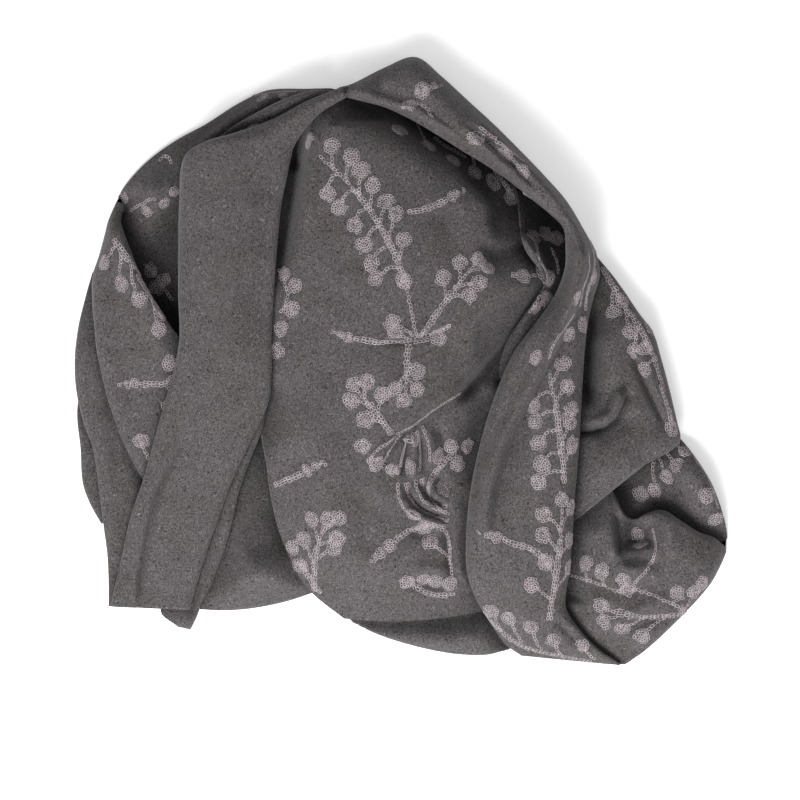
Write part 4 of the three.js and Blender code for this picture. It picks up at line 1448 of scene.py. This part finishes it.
RIGHT_PANEL = Strip("right_panel", roll_a=0, roll_b=10, spacing=2.4, rows=(
    (164, 104, 178, 99, 0, 8, 4, 11, 13, 16),
    (164, 82, 194, 80, 0, 8, REST, 14, 19, 24),
    (160, 63, 207, 62, 0, 8, REST, 15, 24, 27),
    (154, 44, 219, 44, 0, 9, REST, 16, 32, 29),
    (152, 25, 232, 26, 0, 12, REST, 17, 38, 32),
    (150, 5, 239, 4, 0, 12, REST, 16, 39, 33),
    (149, -18, 245, -18, 0, 12, REST, 17, 40, 33),
    (148, -40, 250, -38, 0, 12, REST, 20, 41, 33),
    (148, -60, 254, -56, 0, 13, 5, 23, 42, 32),
    (148, -84, 257, -71, 0, 14, 11, 24, 43, 31),
    (148, -108, 252, -79, 0, 14, 14, 24, 42, 30),
    (149, -132, 241, -86, 0, 14, 14, 24, 39, 30),
    (150, -147, 233, -87, 0, 14, 14, 23, 37, 29),
    (151, -154, 228, -92, 0, 12, 13, 17, 24, 22),
), creases=(
    Crease(((180, 60), (175, 20), (172, -20), (172, -48)), 9.5, -20),
    Crease(
        ((158, -63), (175, -62), (188, -58), (197, -50), (202, -40), (208, -24)), 3.2, lap=12.0, fade=0.14
    ),
    Crease(((182, 30), (190, 0), (192, -30)), 13, 6),
    Crease(((172, -70), (190, -68), (205, -58), (214, -44)), 8, -7),
    Crease(((210, 16), (220, -12), (234, -40), (248, -70)), 4, -6),
    Crease(((220, 14), (229, -12), (242, -42), (252, -64)), 4.5, 4),
    Crease(((160, -104), (190, -104), (226, -92)), 16, 4),
))

FRONT_POUCH = Strip("front_pouch", roll_a=6, roll_b=12, spacing=2.2, rows=(
    (149, -158, 148, -228, 0, 11, REST, 18, 20, 10),
    (160, -145, 157, -240, 0, 11, REST, 23, 23, 12),
    (175, -130, 173, -256, 0, 12, REST, 30, 28, 14),
    (185, -122, 188, -270, 0, 12, REST, 33, 30, 16),
    (194, -120, 203, -281, 0, 13, REST, 34, 32, 20),
    (205, -141, 217, -273, 0, 12, REST, 31, 31, 23),
    (216, -147, 231, -262, 0, 12, REST, 28, 31, 25),
    (228, -141, 246, -248, 0, 12, REST, 30, 33, 27),
    (243, -139, 262, -232, 0, 13, REST, 34, 36, 28),
    (259, -149, 276, -217, 0, 12, REST, 33, 36, 28),
    (275, -159, 287, -203, 0, 12, REST, 29, 32, 26),
    (289, -164, 296, -186, 0, 9, REST, 22, 23, 20),
    (298, -171, 300.5, -176, 0, REST, REST, 8, 8, 8),
), creases=(
    Crease(((213, -138), (212, -156), (214, -178)), 13, -17, fade=0.3),
    Crease(((229, -148), (228, -174)), 9, -8, fade=0.3),
    Crease(((233, -150), (238, -166), (236, -186)), 4.5, 6, fade=0.2),
    Crease(((198, -188), (214, -192), (232, -188)), 5, 5),
    Crease(((240, -142), (249, -162), (254, -184)), 8, 4),
    Crease(((193, -130), (196, -154), (199, -182)), 3.6, lap=-7.0, fade=0.16),
    Crease(((163, -146), (160, -186), (158, -226)), 11, -9, fade=0.1),
    Crease(((180, -252), (212, -232), (256, -214)), 5, 4.2),
    Crease(((190, -258), (226, -240), (262, -232)), 5, -4.6),
    Crease(((168, -202), (198, -214), (226, -208)), 7, -4.4),
    Crease(((196, -192), (222, -196), (246, -198)), 6, 4.0),
))

RIGHT_LOWER_FOLD = Strip("right_lower_fold", roll_a=0, roll_b=11, rows=(
    (240, -68, 257, -71, 0, 5, REST, 6, 6, 7, 7, 7),
    (224, -79, 266, -82, 0, 4, REST, 4, 5, 10, 19, 20),
    (204, -94, 278, -99, 0, 3, REST, 4, 5, 14, 26, 26),
    (192, -112, 287, -115, 0, 3, REST, 4, 4, 12, 26, 29),
    (188, -132, 294, -133, 0, 3, REST, 4, 4, 9, 22, 28),
    (208, -148, 299, -150, 0, 3, REST, 6, 7, 11, 19, 25),
    (238, -149, 301.5, -163, 0, 3, REST, 5, 7, 11, 16, 19),
    (264, -160, 301, -172, 0, 3, REST, 5, 6, 8, 11, 13),
    (284, -170, 300, -178, 0, 2, REST, 4, 4, 5, 6, 7),
), creases=(
    Crease(((256, -84), (272, -112), (284, -142)), 7, 2.5),
    Crease(((236, -92), (250, -110), (264, -128)), 6, -3.5),
    Crease(((204, -104), (214, -122), (232, -140), (262, -150)), 9, -9),
))

BOTTOM_ROLL = Strip("bottom_roll", roll_a=0, roll_b=14, rows=(
    (-66, -216, -60, -231, 0, 2, REST, 3, 3, 4, 5, 5),
    (-46, -216, -43, -242, 0, 3, REST, 3, 4, 10, 13, 11),
    (-20, -210, -16, -254, 0, 5, REST, 3, 8, 16, 18, 13),
    (14, -208, 18, -264, 0, 6, REST, 4, 10, 20, 22, 15),
    (44, -208, 50, -270, 0, 6, REST, 4, 10, 21, 22, 15),
    (70, -212, 78, -271, 0, 6, REST, 4, 10, 19, 21, 14),
    (86, -230, 92, -268, 0, 5, REST, 3, 5, 14, 16, 13),
    (96, -247, 101, -266, 0, 3, REST, 2, 3, 5, 7, 6),
))

LEFT_PLEAT = Strip("left_pleat", roll_a=10, roll_b=0, rows=(
    (-285, 82, -272, 80, 0, REST, 3, 5, 5, 5),
    (-291, 60, -262, 58, 0, REST, 5, 13, 13, 10),
    (-298, 30, -260, 28, 0, REST, 6, 18, 17, 13),
    (-301, 0, -252, 0, 0, REST, 6, 21, 20, 14),
    (-299, -30, -246, -30, 0, 5, 6, 20, 19, 13),
    (-292, -58, -236, -56, 0, 9, 6, 20, 19, 12),
    (-284, -80, -226, -84, 0, 10, 5, 19, 18, 11),
    (-280, -104, -220, -110, 0, 10, 4, 18, 16, 9),
    (-277, -130, -226, -132, 0, 8, 3, 16, 14, 7),
    (-274, -155, -234, -155, 0, 5, 3, 14, 12, 6),
    (-271, -180, -244, -180, 0, REST, 2, 11, 9, 5),
    (-270, -205, -254, -205, 0, REST, 2, 8, 6, 4),
    (-270, -227, -262, -227, 0, REST, 2, 4, 4, 3),
), creases=(
    Crease(((-272, 40), (-270, -40), (-258, -120)), 6, -3.4),
))

LEFT_OUTER_FOLD = Strip("left_outer_fold", roll_a=5, roll_b=0, rows=(
    (-295, -22, -284, -24, 0, REST, 2, 4, 4),
    (-298.5, -38, -283, -38, 0, REST, 2, 5, 5),
    (-299, -54, -278, -52, 0, REST, 2, 7, 6),
    (-296, -80, -266, -80, 0, REST, 2, 9, 6),
    (-294, -112, -262, -110, 0, REST, 2, 9, 5),
    (-287, -132, -260, -132, 0, REST, 2, 7, 4),
    (-277, -150, -258, -150, 0, REST, 2, 4, 3),
))

LOWER_LEFT_FLAP = Strip("lower_left_flap", roll_a=0, roll_b=0, spacing=2.6, rows=(
    (-150, -38, -108, -40, 0, 8, 8, 14, 14, 12),
    (-168, -72, -102, -74, 0, 8, 8, 12, 12, 10),
    (-184, -106, -96, -108, 0, 6, 6, 11, 10, 8),
    (-196, -140, -90, -142, 0, 4, 4, 9, 10, 7),
    (-204, -168, -82, -170, 0, 3, 3, 9, 17, 8),
    (-206, -192, -74, -196, 2, 2, 2, 13, 31, 12),
    (-198, -216, -74, -207, 4, 2, 2, 7, 15, 5),
    (-186, -230, -80, -213, 6, REST, REST, 1.5, 1.5, 1.5),
), creases=(
    Crease(((-194, -228), (-182, -213), (-168, -203), (-152, -197)), 5, 9, fade=0.2),
    Crease(((-190, -210), (-174, -196), (-158, -188)), 5.5, -4.5, fade=0.3),
    Crease(((-176, -120), (-168, -160), (-150, -190)), 14, -4),
    Crease(((-118, -120), (-108, -170), (-96, -204)), 12, -4),
))

# From the topmost strip to the lowest.
STRIPS = (
    FRONT_TAIL,
    LOOP_BAND,
    INNER_TWIST,
    LEFT_SHOULDER,
    TOP_LEFT_INNER,
    TAIL_UNDERLAY,
    CENTRE_PANEL,
    TOP_LEFT_ROLL,
    RIGHT_PANEL,
    FRONT_POUCH,
    RIGHT_LOWER_FOLD,
    BOTTOM_ROLL,
    LEFT_PLEAT,
    LEFT_OUTER_FOLD,
    LOWER_LEFT_FLAP,
)

UP = Reach.UP

SPRIGS: dict[str, tuple[Motif, ...]] = {
    "centre_panel": (
        Sprig((6, 66), 106, 150, 38, left=6, right=7, bare=0.1, stalk=19, tip=False),
        Sprig((15, 22), 58, 88, -6, left=2, right=3, bare=0.4, left_reach=UP, stalk=15),
        Twig((14, 24), 104, 44, 6, (7.5,)),
        Twig((11, 23), 122, 18, 10, (7.3,)),
        Twig((9, 20), 140, 10, 4, (7.3,)),
        Trail(((-26, 17), (-8, 17), (8, 18), (24, 23), (46, 33)), rows=2, gap=2.0),
        Twig((-22, 17), 172, 20, -8, (5.4, 3.8, 2.4), rows=2),
        Twig((12, 16), 6, 13, 8, (7.5,)),
        Sprig((7, 17), -90, 48, 1, left=2, right=1, bare=0.24, left_reach=UP, right_reach=UP, stalk=11),
        Sprig((-8, -68), 142, 56, 4, left=2, right=2, bare=0.24, left_reach=UP, stalk=13),
        Trail(((54, -29), (30, -44), (8, -60), (-6, -67))),
        Trail(((-6, -69), (-18, -79), (-31, -92))),
        Trail(((-1, -68), (-11, -82), (-19, -98)), rows=2),
        Trail(((5, -68), (1, -84), (-4, -104)), rows=2),
        Trail(((15, -64), (17, -84), (16, -102))),
        Trail(((20, -60), (26, -76), (27, -92))),
        Berries(((-24, -93), (-8, -99), (9, -97), (-36, -78), (12, -72))),
        Trail(((27, -128), (26, -117), (29, -106), (36, -97), (46, -88)), rows=2, gap=2.2),
        Berries(((34, -88), (46, -79), (60, -79), (52, -95), (39, -119))),
        Trail(((-3, -112), (-1, -127), (7, -139), (22, -147), (43, -152))),
        Trail(((4, -112), (7, -125), (16, -136), (30, -143), (44, -147)), rows=2),
        Trail(((13, -110), (16, -122), (25, -132), (41, -139))),
        Trail(((19, -108), (22, -120), (30, -129), (43, -134)), rows=2),
        Trail(((27, -128), (34, -136), (45, -141))),
        Berries(((12, -141), (22, -153))),
        Twig((24, -152), 190, 36, 12, (6.0, 5.4, 3.4), rows=2),
        Trail(((28, -149), (42, -158), (46, -172), (46, -186), (48, -204)), rows=2, gap=2.2),
        Trail(((45, -182), (38, -176), (31, -170))),
        Berries(((26, -167),)),
        Trail(((12, -206), (20, -212), (36, -216), (50, -214)), rows=2, gap=2.2),
        Berries(((6, -204), (20, -200), (32, -203), (44, -205))),
        Sprig((-80, -212), 82, 74, -18, left=2, right=3, bare=0.34, left_reach=UP, right_reach=UP, stalk=17),
        Trail(((-94, -184), (-84, -200), (-74, -214)), rows=2),
        Berries(((-99, -172), (-92, -188))),
        Twig((-124, -118), 22, 32, 4, (5.6, 4.4, 3.0), rows=2),
        Berries(((-97, 70), (-100, 47), (-110, 29), (-114, 9), (-106, 80))),
        Trail(((-112, 84), (-106, 72), (-104, 58), (-110, 44))),
        Berries(((-2, 212), (25, 198), (47, 184), (67, 174), (85, 165), (101, 150), (-84, 202))),
        Trail(((14, 222), (18, 210), (24, 198))),
        Trail(((30, 206), (44, 196), (60, 188)), rows=2),
        Trail(((66, 190), (68, 180))),
        Trail(((84, 180), (94, 166), (104, 152)), rows=2),
        Twig((6, 136), 6, 38, 26, (4.6, 3.8, 2.6), rows=2),
        Twig((124, 78), 184, 8, 0, (6.8, 3.2)),
        Trail(((128, 92), (126, 82), (132, 74)), rows=2),
    ),
    "loop_band": (
        Sprig((149, -112), 98, 106, 6, left=5, right=5, bare=0.06, stalk=17, tip=False),
        Trail(((134, 2), (139, 16), (150, 32), (158, 44))),
        Sprig((136, -238), 86, 108, 0, left=4, right=3, bare=0.1, left_reach=UP, stalk=16),
        Twig((120, -172), 168, 28, -6, (5.6, 4.4, 2.8), rows=2),
        Trail(((119, -172), (128, -178), (137, -188)), rows=2),
        Trail(((77, -230), (92, -248), (112, -262), (140, -270), (176, -277)), rows=2),
        Twig((94, -249), 104, 16, -8, (7.0,)),
        Twig((112, -259), 106, 22, -8, (7.2,)),
        Twig((130, -266), 102, 21, -6, (7.2,)),
        Twig((150, -272), 104, 17, -6, (6.6,)),
        Berries(((168, -262),), 6.0),
        Trail(((168, -264), (174, -270), (180, -275))),
        Berries(((152, 24), (167, 33), (124, 2))),
        Berries(((160, 58),), 6.4),
        Trail(((172, 110), (176, 96), (175, 80), (170, 64), (168, 46)), rows=2),
        Trail(((170, 100), (171, 84), (166, 68), (163, 50))),
        Berries(((176, 104), (176, 78))),
        Berries(((8, 234), (20, 248))),
        Trail(((14, 246), (26, 250), (38, 252))),
        Trail(((8, 238), (22, 232), (28, 222))),
        Twig((20, 244), 20, 12, 30, (4.0,)),
        Berries(((68, 204), (112, 172), (94, 190))),
        Trail(((62, 208), (80, 200), (98, 188), (114, 172))),
        Trail(((72, 214), (92, 198), (112, 182))),
    ),
    "inner_twist": (
        Berries(((122, 113), (133, 118), (143, 114))),
        Trail(((123, 108), (126, 94), (134, 80)), rows=2, gap=2.2),
        Berries(((136, 76), (133, 57), (126, 50))),
        Trail(((138, 104), (143, 92), (144, 80))),
        Trail(((128, 60), (118, 44))),
    ),
    "left_shoulder": (
        Trail(((-219, 42), (-230, 62), (-243, 82), (-256, 100), (-264, 112)), rows=2),
        Twig((-262, 108), -112, 14, -16, (6.6,)),
        Twig((-256, 100), -108, 22, 22, (7.4,)),
        Twig((-248, 88), -104, 24, 20, (7.4,)),
        Twig((-238, 72), -104, 24, 16, (7.4,)),
        Twig((-228, 58), -100, 22, 10, (7.4,)),
        Twig((-216, -21), 178, 24, 0, (4.8, 3.6, 2.4), rows=2),
        Berries(((-213, -2), (-211, -19), (-214, -40))),
        Berries(((-240, -74),)),
        Trail(((-240, -74), (-235, -86), (-230, -96))),
    ),
    "top_left_inner": (
        Berries(((-136, 214), (-146, 208)), 5.6),
        Trail(((-152, 204), (-138, 212), (-122, 220))),
    ),
    "top_left_roll": (
        Trail(((-140, 244), (-118, 247), (-96, 248))),
        Berries(((-128, 242), (-108, 244)), 4.6),
        Trail(((-212, 182), (-216, 190), (-224, 186))),
        Trail(((-250, 139), (-238, 146), (-226, 151))),
        Berries(((-256, 152),), 5.6),
        Berries(((-234, 139), (-219, 146), (-210, 156)), 5.4),
        Berries(((-231, 84), (-219, 76), (-227, 68)), 6.4),
        Trail(((-238, 90), (-228, 80), (-220, 68), (-212, 56))),
    ),
    "right_panel": (
        Trail(((186, 86), (194, 72), (204, 54), (216, 36), (227, 16), (235, -6), (241, -28)), rows=2),
        Twig((196, 68), -106, 16, 10, (7.0,)),
        Twig((207, 50), -98, 18, 12, (7.2,)),
        Twig((218, 30), -110, 15, 8, (7.0,)),
        Twig((232, 2), -150, 12, 6, (7.2,)),
        Berries(((209, 62), (228, 30), (224, 12)), 6.8),
        Trail(((238, -22), (244, -40), (249, -58)), rows=2),
        Berries(((250, -62),)),
    ),
    "right_lower_fold": (
        Twig((234, -88), -93, 24, 10, (6.6,)),
        Twig((238, -85), -64, 17, -6, (6.8,)),
        Twig((243, -80), -48, 17, -4, (6.8,)),
        Trail(((254, -70), (243, -80), (233, -90), (222, -97))),
        Berries(((263, -84), (281, -124), (291, -146), (223, -122))),
        Trail(((270, -90), (282, -108), (292, -136))),
    ),
    "front_pouch": (
        Trail(((155, -197), (176, -203), (196, -210), (212, -218))),
        Twig((172, -202), 92, 6, 0, (7.2,)),
        Twig((188, -207), 88, 7, 0, (7.2,)),
        Twig((202, -213), 78, 6, 0, (7.0,)),
        Twig((225, -192), 238, 16, 4, (7.4,)),
        Trail(((225, -192), (232, -184), (236, -170), (233, -154))),
        Trail(((264, -232), (238, -235), (214, -234), (197, -230)), rows=2),
        Twig((198, -231), 158, 6, 0, (7.3,)),
        Twig((206, -234), 190, 14, 0, (7.0,)),
        Twig((226, -235), 212, 16, 0, (7.3,)),
        Twig((244, -235), 226, 20, 0, (7.3,)),
        Trail(((266, -230), (246, -222), (228, -214), (214, -210))),
        Twig((250, -224), 72, 4, 0, (7.0,)),
        Twig((262, -227), 78, 12, 0, (6.8,)),
        Berries(((277, -205), (222, -170), (219, -160)), 6.6),
    ),
}


def evened(values: np.ndarray) -> np.ndarray:
    """The values inside a lattice, each evened with those round it."""
    beside = values[:-2, 1:-1] + values[2:, 1:-1] + values[1:-1, :-2] + values[1:-1, 2:]
    return (beside + 2 * values[1:-1, 1:-1]) / 6


@dataclass
class Heap:
    """The whole scarf as it lies.

    Args:
        strips: the strips, from the topmost to the lowest.
        sprigs: what is embroidered on each.
        stitch: the stitch of the embroidery.
        press: what has been laid so far.
        rounds: how often pressed cloth is evened.
        edge: how far out the last pressing reaches, after the evening.
    """

    strips: Sequence[Strip]
    sprigs: dict[str, tuple[Motif, ...]]
    stitch: ChainStitch = field(default_factory=ChainStitch)
    press: PressMap = field(default_factory=PressMap)
    rounds: int = 4
    edge: float = 4.0

    def lay(self, strip: Strip, seed: int) -> Drape:
        """Lays a strip under those already laid.

        Args:
            strip: the strip.
            seed: which faint waves it has.

        Returns:
            The strip as it lies.
        """
        points, top = strip.lattice(seed)
        soft, hard = self.press.ceiling(), self.press.ceiling(reach=self.edge)
        x, y = points[:, :, 0], points[:, :, 1]
        low = self.press.sample(soft, x, y)
        pressed = (points[:, :, 2] > low).astype(float)
        points[:, :, 2] = np.minimum(points[:, :, 2], low)
        pressed[:, : top.start + 1] = pressed[:, top.stop - 1 :] = 0
        for _ in range(self.rounds):
            pressed[1:-1, 1:-1] = evened(pressed)
            share = np.clip(2 * pressed[1:-1, 1:-1], 0, 1)
            z = points[:, :, 2]
            z[1:-1, 1:-1] += share * (evened(z) - z[1:-1, 1:-1])
        points[:, :, 2] = np.minimum(points[:, :, 2], self.press.sample(hard, x, y))
        points[:, :, 2] = np.maximum(points[:, :, 2], REST)
        self.press.lay(points)
        return Drape(points, top)

    def build(self) -> None:
        """Makes every piece of cloth and its embroidery."""
        shift = np.array([*CENTRING, 0.0])
        drapes = [self.lay(strip, SEED + number) for number, strip in enumerate(self.strips)]
        for number, (strip, drape) in enumerate(zip(self.strips, drapes)):
            # How open each place lies, which sets the painted shade of the wool and the yarn.
            openness = self.press.openness(drape.points)
            piece = cloth(f"{strip.name}_cloth", drape.points + shift, openness, WOOL)
            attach(piece, "root")
            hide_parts(strip.name)
            needle = Needle(drape, self.stitch, np.random.default_rng(SEED + number))
            lines = [line for motif in self.sprigs.get(strip.name, ()) for line in motif.lines(needle)]
            lines = [line for line in lines if len(line[0]) > 1]
            if lines:
                openness = self.press.openness(np.concatenate([places[:-1] for places, _ in lines]))
                lines = [(places + shift, normals) for places, normals in lines]
                sewn = self.stitch.sew(f"{strip.name}_sprigs", lines, openness, YARN, SEED + number)
                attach(sewn, "root")
            width, length = drape.flat_size()
            log.info("%s: %.0f by %.0f mm of cloth", strip.name, width / MM, length / MM)
        HiddenLayers().build(self.press)


def main() -> None:
    """Builds the scarf and the studio."""
    logging.basicConfig(level=logging.INFO, format="%(message)s")
    Heap(STRIPS, SPRIGS).build()
    Studio().build()


if __name__ == "__main__":
    main()
